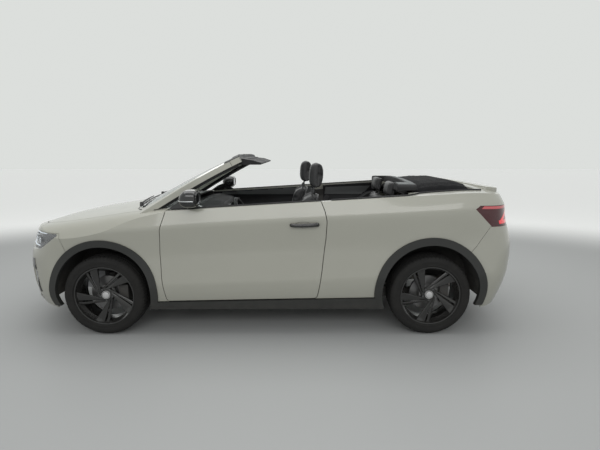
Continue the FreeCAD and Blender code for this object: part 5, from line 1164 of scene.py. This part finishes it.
# Rear lamps: dark red moulded lenses in two pieces, one on the quarter and one on the lid. Each
# has a paler band along its top and bright light guides below it.
lamp_red = textured(
    surface("lamp_red", (0.05, 0.003, 0.006), 0.2, Coat_Weight=0.35, Coat_Roughness=0.03),
    260.0, 0.00012, ((0.040, 0.002, 0.005), (0.070, 0.004, 0.008)), (0.08, 0.16), cells=0.8)
guide_red = textured(
    surface("guide_red", (0.75, 0.012, 0.025), 0.2, Coat_Weight=1.0,
            Emission_Color=(1.0, 0.02, 0.04, 1), Emission_Strength=0.25),
    900.0, 0.00008, ((0.68, 0.010, 0.022), (0.85, 0.016, 0.03)), (0.15, 0.25))
band_pink = textured(
    surface("band_pink", (0.50, 0.07, 0.085), 0.25, Coat_Weight=0.5),
    900.0, 0.00008, ((0.50, 0.08, 0.09), (0.60, 0.13, 0.14)), (0.15, 0.25), cells=0.6)
finish(lamp_red, "tail_lamps", "lid_lamps")

# Corners of the patches on the lamps, as (x, z) on the quarter and (y, z) on the lid.
TAIL_GUIDES = (((1.930, 1.030), (1.962, 1.030), (1.882, 0.935), (1.842, 0.935)),
               ((1.836, 0.944), (1.990, 0.944), (1.990, 0.916), (1.846, 0.916)),
               ((1.915, 0.975), (1.945, 0.975), (1.985, 0.944), (1.950, 0.944)))
TAIL_BANDS = (((1.680, 1.040), (1.975, 1.036), (1.975, 1.056), (1.700, 1.060)),)
LID_GUIDES = (((0.36, 0.985), (0.625, 0.985), (0.625, 0.999), (0.37, 0.999)),
              ((0.40, 0.925), (0.625, 0.925), (0.625, 0.912), (0.41, 0.912)))
LID_BANDS = (((0.34, 1.032), (0.625, 1.032), (0.625, 1.048), (0.35, 1.048)),)
rear_tree = surface_tree("tail_lamps")
lid_tree = surface_tree("lid_lamps")
for side_name, side in SIDES:
    for label, quads, steps, lift, material in (
            ("guide", TAIL_GUIDES, (40, 6), 0.0012, guide_red),
            ("band", TAIL_BANDS, (60, 6), 0.0010, band_pink)):
        built(f"tail_{label}_{side_name}", several(*(
            draped(rear_tree, (0, -side, 0), [(x, side * 1.2, z) for x, z in quad], steps, lift,
                   0.002) for quad in quads)), "body", "lamp_red", material)
    for label, quads, lift, material in (("guide", LID_GUIDES, 0.0012, guide_red),
                                         ("band", LID_BANDS, 0.0010, band_pink)):
        built(f"lid_{label}_{side_name}", several(*(
            draped(lid_tree, (-1, 0, 0), [(2.3, side * a, z) for a, z in quad], (40, 6), lift,
                   0.002) for quad in quads)), "boot_lid", "lamp_red", material)

# Grilles and air curtains: glossy black moulded slats and bars over the bumper's openings, and a
# slot with a rounded edge at each corner.
bright_trim = textured(
    surface("bright_trim", (0.60, 0.61, 0.62), 0.22, Metallic=0.95),
    700.0, 0.00003, ((0.56, 0.57, 0.58), (0.64, 0.65, 0.66)), (0.18, 0.28))
grille_tree = surface_tree("front_grilles")
bumper_tree = surface_tree("front_bumper", "front_grilles")
SLAT_HEIGHTS = (0.300, 0.326, 0.352, 0.378, 0.404, 0.430, 0.700, 0.722, 0.744, 0.766)
SLAT_STEP, SLAT_STEPS = 0.045, 15
BAR_STEP, BARS_EACH_SIDE, BAR_HEIGHTS = 0.05, 11, [0.300 + 0.02 * n for n in range(7)]
NOSE_START, NOSE_END = -2.4, -1.95
CURTAIN_WAY = (0.66, 0.75)
CURTAIN_CORNERS = ((-1.955, 0.700, 0.612), (-1.905, 0.752, 0.618), (-1.835, 0.812, 0.352),
                   (-1.880, 0.782, 0.335))


def slats(bm):
    """Fine slats laid over the grilles and a mesh in the lower opening."""
    slat_rows = [
        ([(NOSE_START, side * SLAT_STEP * k, z) for k in range(SLAT_STEPS)], 0.003, 0.0036)
        for z in SLAT_HEIGHTS for side in (-1, 1)]
    bar_rows = [([(NOSE_START, BAR_STEP * k, z) for z in BAR_HEIGHTS], 0.0015, 0.0022)
                for k in range(-BARS_EACH_SIDE, BARS_EACH_SIDE + 1)]
    for spots, lift, radius in slat_rows + bar_rows:
        run = [spot for spot in on_surface(grille_tree, (1, 0, 0), spots, lift)
               if spot.x < NOSE_END]
        if len(run) > 2:
            swept(run, radius, 6)(bm)


built("grille_slats", slats, "body", "gloss_black", gloss_black, 40)
for side_name, side in SIDES:
    way = Vector((CURTAIN_WAY[0], -side * CURTAIN_WAY[1], 0))
    quad = [Vector((x, side * y, z)) - way * 0.3 for x, y, z in CURTAIN_CORNERS]
    built(f"air_curtain_{side_name}", draped(bumper_tree, way, quad, (10, 30), 0.0025, 0.004),
          "body", "gloss_black", gloss_black)
    edge = on_surface(bumper_tree, way, [quad[1].lerp(quad[2], k / 10) for k in range(11)], 0.002)
    built(f"air_curtain_edge_{side_name}", swept(edge, 0.005, 8), "body", "gloss_black",
          gloss_black, 40)


# Belt seals: black rubber lips along the tops of the doors and of the rear quarters, where the
# lowered windows and the folded roof meet the body. Stations are (x, distance from the middle).
SEAL_RADIUS, SEAL_LIFT = 0.0085, 0.003
BELT_LOWEST = 1.01
DOOR_STATIONS = [(-0.74 + 0.05 * k, 0.800) for k in range(24)] + [(0.432, 0.800)]
DECK_STATIONS = [(0.520 + 0.05 * k, 0.806) for k in range(13)] + [
    (1.16, 0.790), (1.20, 0.750), (1.24, 0.715), (1.30, 0.695), (1.40, 0.680), (1.50, 0.672),
    (1.60, 0.668), (1.70, 0.664), (1.76, 0.655)]
for side_name, side in SIDES:
    for label, panel, body, stations in (
            ("door", f"door_{side_name}", f"door_{side_name}", DOOR_STATIONS),
            ("deck", f"rear_quarter_{side_name}", "body", DECK_STATIONS)):
        line = [spot for spot in on_surface(
            surface_tree(panel), DOWN, [(x, side * y, 1.5) for x, y in stations], SEAL_LIFT)
            if spot.z > BELT_LOWEST + SEAL_LIFT]
        built(f"{label}_belt_seal_{side_name}", swept(line, SEAL_RADIUS, 8), body,
              "interior_trim", edge_rubber, 40)

# Mirrors: each is a gloss black shell on a short foot beside a black corner panel. Its glass
# faces back inside the shell's rim, and a bright strip crosses its outer side.
mirror_glass = surface("mirror_glass", (0.80, 0.82, 0.84), 0.02, Metallic=1.0)
MIRROR_MIDDLE = Vector((-0.566, 0.890, 1.124))
MIRROR_HALF = Vector((0.080, 0.096, 0.069))
# Below 1 these square the shell and its glass off. The shell's top is lower in front by a share.
MIRROR_SQUARED, GLASS_SQUARED = (0.75, 0.62, 0.70), 0.75
MIRROR_LOWERED, MIRROR_BACK = 0.38, 0.052
GLASS_HALF = (0.072, 0.046)
MIRROR_FOOT = ((-0.600, 0.790, 1.036), (-0.600, 0.820, 1.050), (-0.590, 0.850, 1.066),
               (-0.580, 0.872, 1.085))
CORNER_OUTLINE = [(-0.775, 1.026), (-0.690, 1.083), (-0.640, 1.104), (-0.606, 1.100),
                  (-0.500, 1.044), (-0.505, 1.036), (-0.640, 1.028)]
CORNER_SIDE = 0.802


def curve(value, power):
    """A power of that value that keeps its sign: below 1 it squares a circle off."""
    return math.copysign(abs(value) ** power, value)


def mirror_spot(side, turn, tilt, grow=1.0):
    """A point on the shell: rounded like a box, lower in front, and flat at the back."""
    x = MIRROR_HALF.x * curve(math.cos(tilt) * math.cos(turn), MIRROR_SQUARED[0])
    y = MIRROR_HALF.y * curve(math.cos(tilt) * math.sin(turn), MIRROR_SQUARED[1])
    z = MIRROR_HALF.z * curve(math.sin(tilt), MIRROR_SQUARED[2])
    if x < 0:
        x *= 1 - MIRROR_LOWERED * max(z / MIRROR_HALF.z, 0) ** 1.5
    x = min(x, MIRROR_BACK)
    return Vector((MIRROR_MIDDLE.x + grow * x, side * (MIRROR_MIDDLE.y + grow * y),
                   MIRROR_MIDDLE.z + grow * z))


def mirror_shell(side):
    """The shell and its foot, which ends on the door's corner."""
    def make(bm):
        joined(bm, [[bm.verts.new(mirror_spot(side, t, math.pi * (j / 24 - 0.5)))
                     for t in around(48)] for j in range(1, 24)], capped=1)
        swept([(x, side * y, z) for x, y, z in MIRROR_FOOT], 0.021, 14)(bm)
    return make


for side_name, side in SIDES:
    body = f"door_{side_name}"
    corner_panel = shaped(
        CORNER_OUTLINE, lambda a, b, deep: Vector((a, side * (CORNER_SIDE - deep), b)),
        0.016, 0.003)
    made = built(f"mirror_{side_name}", several(mirror_shell(side), corner_panel), body,
                 "gloss_black", gloss_black, 40)
    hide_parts(f"door_fittings_{side_name}")
    glass_rim = [Vector((
        MIRROR_MIDDLE.x + MIRROR_BACK + 0.0005,
        side * (MIRROR_MIDDLE.y + GLASS_HALF[0] * curve(math.cos(t), GLASS_SQUARED)),
        MIRROR_MIDDLE.z + GLASS_HALF[1] * curve(math.sin(t), GLASS_SQUARED)))
        for t in around(40)]

    def glass_plate(bm):
        """The glass, as thick as the distance between its two outlines."""
        joined(bm, [[bm.verts.new(spot + Vector((out, 0, 0))) for spot in glass_rim]
                    for out in (0, 0.0022)], capped=1)
    built(f"mirror_glass_{side_name}", glass_plate, body, "clear_glass", mirror_glass)
    rim_line = [spot + Vector((0.004, 0, 0)) for spot in glass_rim]
    built(f"mirror_rim_{side_name}", swept(rim_line, 0.0055, 8, closed=True), body, "gloss_black",
          gloss_black, 40)
    strip = [mirror_spot(side, math.radians(turn), -0.10, 1.005) for turn in range(66, 160, 6)]
    built(f"mirror_strip_{side_name}", swept(strip, 0.0048, 8), body, "disc", bright_trim, 40)


# Door handles: curved bars of black plastic that stand off the skin on two feet, over a dished
# seat, with a cap over the lock at the rear end. Lines are (x or along, distance off the skin).
HANDLE_LINE = ((0.205, 0.0), (0.212, 0.018), (0.235, 0.027), (0.300, 0.030), (0.370, 0.028),
               (0.395, 0.020), (0.402, 0.0))
HANDLE_HEIGHT, HANDLE_SLOPE = 0.912, 0.03
LOCK_CAP_LINE = ((0.0, 0.0), (0.001, 0.014), (0.004, 0.022), (0.008, 0.026))
SEAT_MIDDLE, SEAT_HALF = (0.300, 0.914), (0.066, 0.024)
for side_name, side in SIDES:
    body = f"door_{side_name}"
    skin_tree = surface_tree(body)
    feet = on_surface(skin_tree, (0, -side, 0), [
        (x, side * 1.2, HANDLE_HEIGHT + HANDLE_SLOPE * (x - 0.2)) for x, lift in HANDLE_LINE])
    bar = [foot + Vector((0, side * lift, 0)) for foot, (x, lift) in zip(feet, HANDLE_LINE)]
    lock_cap = [feet[-1] + Vector((0.006 + along, side * lift, 0))
                for along, lift in LOCK_CAP_LINE]
    handle = several(swept(bar, lambda share: 0.0145 + 0.002 * share, 12),
                     swept(lock_cap, lambda share: 0.0165 - 0.004 * share ** 3, 12))
    built(f"door_handle_{side_name}", handle, body, "gloss_black", gloss_black, 50)
    dish = on_surface(skin_tree, (0, -side, 0), [
        (SEAT_MIDDLE[0] + SEAT_HALF[0] * math.cos(t), side * 1.2,
         SEAT_MIDDLE[1] + SEAT_HALF[1] * math.sin(t)) for t in around(32)], -0.0005)
    built(f"handle_seat_{side_name}", swept(dish, 0.0014, 6, closed=True), body, "gloss_black",
          gloss_black, 40)


# Header cap: a rounded black cover with a coarse grain along the top of the windscreen frame,
# clipped on where the roof's front section lands when it is shut.
HEADER_CORNERS = [(-0.352, -0.610, 2), (-0.352, 0.610, 2), (-0.185, 0.610, 2), (-0.185, -0.610, 2)]
cap_grain = textured(
    surface("cap_grain", (0.022, 0.023, 0.024), 0.7),
    420.0, 0.0008, ((0.016, 0.017, 0.018), (0.036, 0.038, 0.039)), (0.55, 0.8), cells=0.8)
built("header_cap", draped(surface_tree("windscreen_frame", "windscreen_trim"), DOWN,
                           HEADER_CORNERS, (60, 18), 0.005, 0.006),
      "body", "interior_trim", cap_grain)


# Cowl and wipers: black plastic at the foot of the windscreen, with two arms and rubber blades
# parked along it.
glass_tree = surface_tree("windscreen_glass", "cowl", "windscreen_frame")
WIPER_ENDS = ((Vector((-1.060, -0.560)), Vector((-1.085, 0.020))),
              (Vector((-1.085, 0.060)), Vector((-1.040, 0.600))))


def wipers(bm):
    """Two arms with their blades, lying on the foot of the glass."""
    for pivot, tip in WIPER_ENDS:
        line = [(*pivot.lerp(tip, k / 12), 1.6) for k in range(13)]
        rubber = on_surface(glass_tree, DOWN, line, 0.012)
        swept(rubber, 0.006, 8)(bm)
        swept([spot + Vector((-0.012, 0, 0.010)) for spot in rubber[:8]],
              lambda share: 0.0085 - 0.004 * share, 8)(bm)
        swept([rubber[0] + Vector((-0.012, 0, lift)) for lift in (-0.012, 0.018, 0.024)],
              lambda share: 0.016 - 0.006 * share, 14)(bm)


built("wipers", wipers, "body", "black_plastic", hard_trim, 40)

# Dashboard and console: soft moulded trim with an instrument hood, four air vents, a touch
# screen, a lidded box, and a console with its lever and cup holders.
dash_tree = surface_tree("dashboard")
screen_glass = textured(
    surface("screen_glass", (0.006, 0.007, 0.009), 0.08, Coat_Weight=1.0, Coat_Roughness=0.02),
    200.0, 0.00001, ((0.005, 0.006, 0.008), (0.009, 0.010, 0.012)), (0.06, 0.1))
HOOD_START, HOOD_STEP, HOOD_ROWS, HOOD_STEPS = -0.520, 0.020, 8, 14
# The hood's outer and inner arch: foot, spring line, half width and rise.
HOOD_OUTER, HOOD_INNER = (0.945, 0.955, 0.150, 0.052), (0.940, 0.952, 0.138, 0.040)
DRIVER_SIDE = -0.370
VENTS = ((-0.635, 0.048), (-0.170, 0.034), (0.170, 0.034), (0.635, 0.048))
VENT_LOW, VENT_HIGH = 0.868, 0.958
LEVER_SPOT, LEVER_HEIGHTS = (-0.24, 0.0, 1.2), (0.05, 0.085, 0.105, 0.125, 0.135)
HOLDER_SPOTS, HOLDER_RADIUS = [(-0.11, -0.030, 1.2), (-0.11, 0.040, 1.2)], 0.034


def instrument_hood(bm):
    """Arched hood over the dials, open towards the driver."""
    def arch(x, size, bulge, order):
        foot, spring, half, rise = size
        return [bm.verts.new((
            x, DRIVER_SIDE + half * bulge * math.cos(math.pi * k / HOOD_STEPS),
            spring + rise * bulge * math.sin(math.pi * k / HOOD_STEPS) ** 0.8
            if 0 < k < HOOD_STEPS else foot)) for k in order]
    joined(bm, [
        arch(HOOD_START + HOOD_STEP * i, HOOD_OUTER, 1 - 0.25 * (1 - i / HOOD_ROWS) ** 2,
             range(HOOD_STEPS + 1))
        + arch(HOOD_START + HOOD_STEP * i, HOOD_INNER, 1, range(HOOD_STEPS, -1, -1))
        for i in range(HOOD_ROWS + 1)], capped=-1)


def facing_rear(x):
    """Turns (across, up, depth) into a plate that faces the seats."""
    return lambda a, b, deep: Vector((x - deep + 0.10 * (b - 0.9), a, b))


built("instrument_hood", instrument_hood, "body", "interior_trim", soft_trim, 40)
dials = several(
    shaped(rounded_outline(-0.495, -0.245, 0.895, 0.985, 0.03), facing_rear(-0.43), 0.02),
    shaped(rounded_outline(-0.118, 0.118, 0.850, 0.975, 0.012), facing_rear(-0.405), 0.02))
built("screens", dials, "body", "gloss_black", screen_glass)


def vents(bm):
    """Frames of four air vents."""
    way = facing_rear(-0.415)
    for middle, half in VENTS:
        outline = rounded_outline(middle - half, middle + half, VENT_LOW, VENT_HIGH, 0.012)
        swept([way(a, b, 0.004) for a, b in outline], 0.0045, 8, closed=True)(bm)
        for k in range(5):
            z = VENT_LOW + 0.012 + 0.0165 * k
            swept([way(middle + aside, z, 0.009) for aside in (0.006 - half, 0, half - 0.006)],
                  0.0028, 6)(bm)


built("air_vents", vents, "body", "gloss_black", gloss_black, 40)


def console_parts(bm):
    """Lever with its gaiter, and the rims of two cup holders."""
    foot = on_surface(dash_tree, DOWN, [LEVER_SPOT])[0]
    swept([foot + Vector((0, 0, z)) for z in (-0.01, 0.01, 0.03, 0.055)],
          lambda share: 0.052 - 0.036 * share ** 0.7, 20)(bm)
    swept([foot + Vector((0.12 * z, 0, z)) for z in LEVER_HEIGHTS],
          lambda share: 0.012 + 0.014 * math.sin(math.pi * min(share * 1.05, 0.97)) ** 0.6, 18)(bm)
    for spot in on_surface(dash_tree, DOWN, HOLDER_SPOTS):
        swept([spot + Vector((HOLDER_RADIUS * math.cos(t), HOLDER_RADIUS * math.sin(t), 0.002))
               for t in around(24)], 0.0035, 8, closed=True)(bm)


built("console_fittings", console_parts, "body", "interior_trim", hard_trim, 40)
box_seam = on_surface(dash_tree, (-1, 0, 0), [
    (0.2, a, b) for a, b in rounded_outline(0.20, 0.60, 0.640, 0.820, 0.03)], 0.0006)
built("glove_box_seam", swept(box_seam, 0.0022, 6, closed=True), "body", "interior_trim",
      edge_rubber, 40)

# Steering wheel: a foam rim under stitched leather, a padded hub and thin metal trims on the
# spokes. Two stalks stand on the column behind it.
WHEEL_MIDDLE = Vector((-0.2245, -0.370, 0.900))
WHEEL_TILT = math.radians(65)
WHEEL_AXIS = Vector((math.sin(WHEEL_TILT), 0, math.cos(WHEEL_TILT)))
WHEEL_UP = Vector((-math.cos(WHEEL_TILT), 0, math.sin(WHEEL_TILT)))
SPOKE_TRIM = ((0.078, 0.018), (0.105, 0.012), (0.135, 0.014), (0.152, 0.022))
# Stitches round the rim: how many, how far from its middle, and a stitch's three angles.
STITCHES, STITCH_RADIUS, STITCH_TURNS = 110, 0.176, (0, 0.016, 0.032)
STALK_LINE = ((0.030, 0.02, -0.085), (0.085, 0.028, -0.078), (0.140, 0.040, -0.070),
              (0.165, 0.045, -0.068))


def on_wheel(aside, up, out):
    """A point in the steering wheel's own plane, and out towards the driver."""
    return WHEEL_MIDDLE + Vector((0, aside, 0)) + WHEEL_UP * up + WHEEL_AXIS * out


finish(seat_leather, "steering_wheel")
hub_pad = shaped(rounded_outline(-0.072, 0.072, -0.060, 0.052, 0.034),
                 lambda a, b, deep: on_wheel(a, b, 0.032 - deep - 1.6 * (a * a + b * b)),
                 0.020, 0.007)
built("airbag_pad", hub_pad, "steering_wheel", "interior_trim", soft_trim)
spoke_trims = several(*(swept([on_wheel(side * a, b, 0.020) for a, b in SPOKE_TRIM], 0.0042, 8)
                        for side in (-1, 1)))
built("spoke_trims", spoke_trims, "steering_wheel", "disc", bright_trim, 40)
stitches = several(*(
    swept([on_wheel(STITCH_RADIUS * math.sin(start + t), STITCH_RADIUS * math.cos(start + t),
                    0.0150) for t in STITCH_TURNS], 0.0009, 5) for start in around(STITCHES)))
built("rim_stitches", stitches, "steering_wheel", "seat_cover", seam_thread, 40)
stalks = several(*(
    swept([on_wheel(side * a, b, out) for a, b, out in STALK_LINE],
          lambda share: 0.0060 + 0.0045 * max(share - 0.5, 0), 10) for side in (-1, 1)))
built("column_stalks", stalks, "body", "interior_trim", hard_trim, 40)


# Door trims: a moulded panel with a padded armrest, a pull, a speaker behind a perforated cover,
# a lever and a paler upper part. The rear sides have the same paler upper part.
DOOR_UPPER = [(-0.64, 0, 0.985), (0.455, 0, 0.985), (0.455, 0, 1.072), (-0.60, 0, 1.072)]
REAR_UPPER = [(0.565, 0, 0.985), (1.02, 0, 0.985), (1.10, 0, 1.085), (0.575, 0, 1.068)]
ARMREST_SPOTS = [(-0.42 + 0.055 * k, 0, 0.735 + 0.003 * k) for k in range(14)]
# Each bar's start, height, step, and how far its points stand off the trim.
PULL = (-0.30, 0.83, 0.03, (0.0, 0.018, 0.026, 0.028, 0.026, 0.018, 0.0))
LEVER = (-0.50, 0.900, 0.022, (0.004, 0.014, 0.017, 0.015, 0.006))
SPEAKER_MIDDLE = (-0.62, 0.47)
SPEAKER_RINGS = ((0.086, 0.004, 0.0035), (0.078, 0.006, 0.0022), (0.060, 0.006, 0.0022),
                 (0.042, 0.006, 0.0022), (0.024, 0.006, 0.0022))


def armrest_radius(share):
    """Slim at both ends and full between them."""
    return 0.012 + 0.020 * math.sin(math.pi * min(max(share, 0.03), 0.97)) ** 0.5


def stood_off(trim_tree, side, bar):
    """Points of a bar that stands off a side trim."""
    start, height, step, lifts = bar
    feet = on_surface(trim_tree, (0, side, 0), [(start + step * k, 0, height)
                                                for k in range(len(lifts))])
    return [foot + Vector((0, -side * lift, 0)) for foot, lift in zip(feet, lifts)]


for side_name, side in SIDES:
    body = f"door_{side_name}"
    trim_tree = surface_tree(f"door_trim_{side_name}")
    way = (0, side, 0)
    built(f"door_upper_{side_name}", draped(trim_tree, way, DOOR_UPPER, (60, 8), 0.0030, 0.0015),
          body, "interior_trim", grey_trim)
    built(f"door_armrest_{side_name}",
          swept(on_surface(trim_tree, way, ARMREST_SPOTS, 0.012), armrest_radius, 14), body,
          "seat_cover", seat_leather, 50)
    rings = [swept(on_surface(trim_tree, way, [
        (SPEAKER_MIDDLE[0] + radius * math.cos(t), 0, SPEAKER_MIDDLE[1] + radius * math.sin(t))
        for t in around(36)], lift), wire, 6, closed=True) for radius, lift, wire in SPEAKER_RINGS]
    pull = swept(stood_off(trim_tree, side, PULL), 0.0075, 8)
    built(f"door_trim_details_{side_name}", several(pull, *rings), body, "interior_trim",
          hard_trim, 40)
    built(f"door_lever_{side_name}", swept(stood_off(trim_tree, side, LEVER), 0.0065, 8), body,
          "disc", bright_trim, 40)
rear_trim_tree = surface_tree("quarter_trims")
for side_name, side in SIDES:
    built(f"rear_side_upper_{side_name}",
          draped(rear_trim_tree, (0, side, 0), REAR_UPPER, (30, 8), 0.0030, 0.0015), "body",
          "interior_trim", grey_trim)


# Seat belts: woven webbing from each rear side trim down to the sill, and a buckle on a stalk
# beside each front seat.
webbing = woven(
    surface("webbing", (0.020, 0.020, 0.021), 0.8), 700.0, 0.0003,
    ((0.016, 0.016, 0.017), (0.026, 0.026, 0.027)))
STRAP_LINE = ((0.600, 0.700, 0.977), (0.575, 0.700, 0.940), (0.540, 0.693, 0.820),
              (0.505, 0.688, 0.680), (0.480, 0.684, 0.540), (0.465, 0.682, 0.420),
              (0.458, 0.682, 0.340))
# Corners of the webbing's section, as shares of half its width and half its thickness.
STRAP_SECTION = ((-1, -0.6), (-0.94, -1), (0.94, -1), (1, -0.6), (1, 0.6), (0.94, 1), (-0.94, 1),
                 (-1, 0.6))
STALK_OF_BUCKLE = ((0.165, 0.112, 0.300), (0.170, 0.108, 0.360), (0.180, 0.104, 0.425))


def ribbon(spots, width, thick, across):
    """A flat strap along those points."""
    def make(bm):
        points = [Vector(spot) for spot in spots]
        rings = []
        for k, point in enumerate(points):
            along = (points[min(k + 1, len(points) - 1)] - points[max(k - 1, 0)]).normalized()
            side = (across - along * across.dot(along)).normalized()
            out = along.cross(side)
            rings.append([bm.verts.new(point + side * a * width / 2 + out * b * thick / 2)
                          for a, b in STRAP_SECTION])
        joined(bm, rings, capped=1)
    return make


for (side_name, side), slid in zip(SIDES, SEAT_SLIDES):
    strap = ribbon([(x, side * y, z) for x, y, z in STRAP_LINE], 0.047, 0.0016,
                   Vector((1, 0, 0)))
    built(f"front_belt_{side_name}", strap, "body", "seat_cover", webbing)
    buckle = several(
        swept([(x + slid, side * y, z) for x, y, z in STALK_OF_BUCKLE], 0.0075, 8),
        shaped(rounded_outline(-0.016, 0.016, 0.0, 0.062, 0.008),
               lambda a, b, deep: Vector((0.182 + slid + 0.17 * b + a, side * (0.094 + deep),
                                          0.418 + b)), 0.020, 0.004))
    built(f"front_buckle_{side_name}", buckle, "body", "interior_trim", hard_trim)
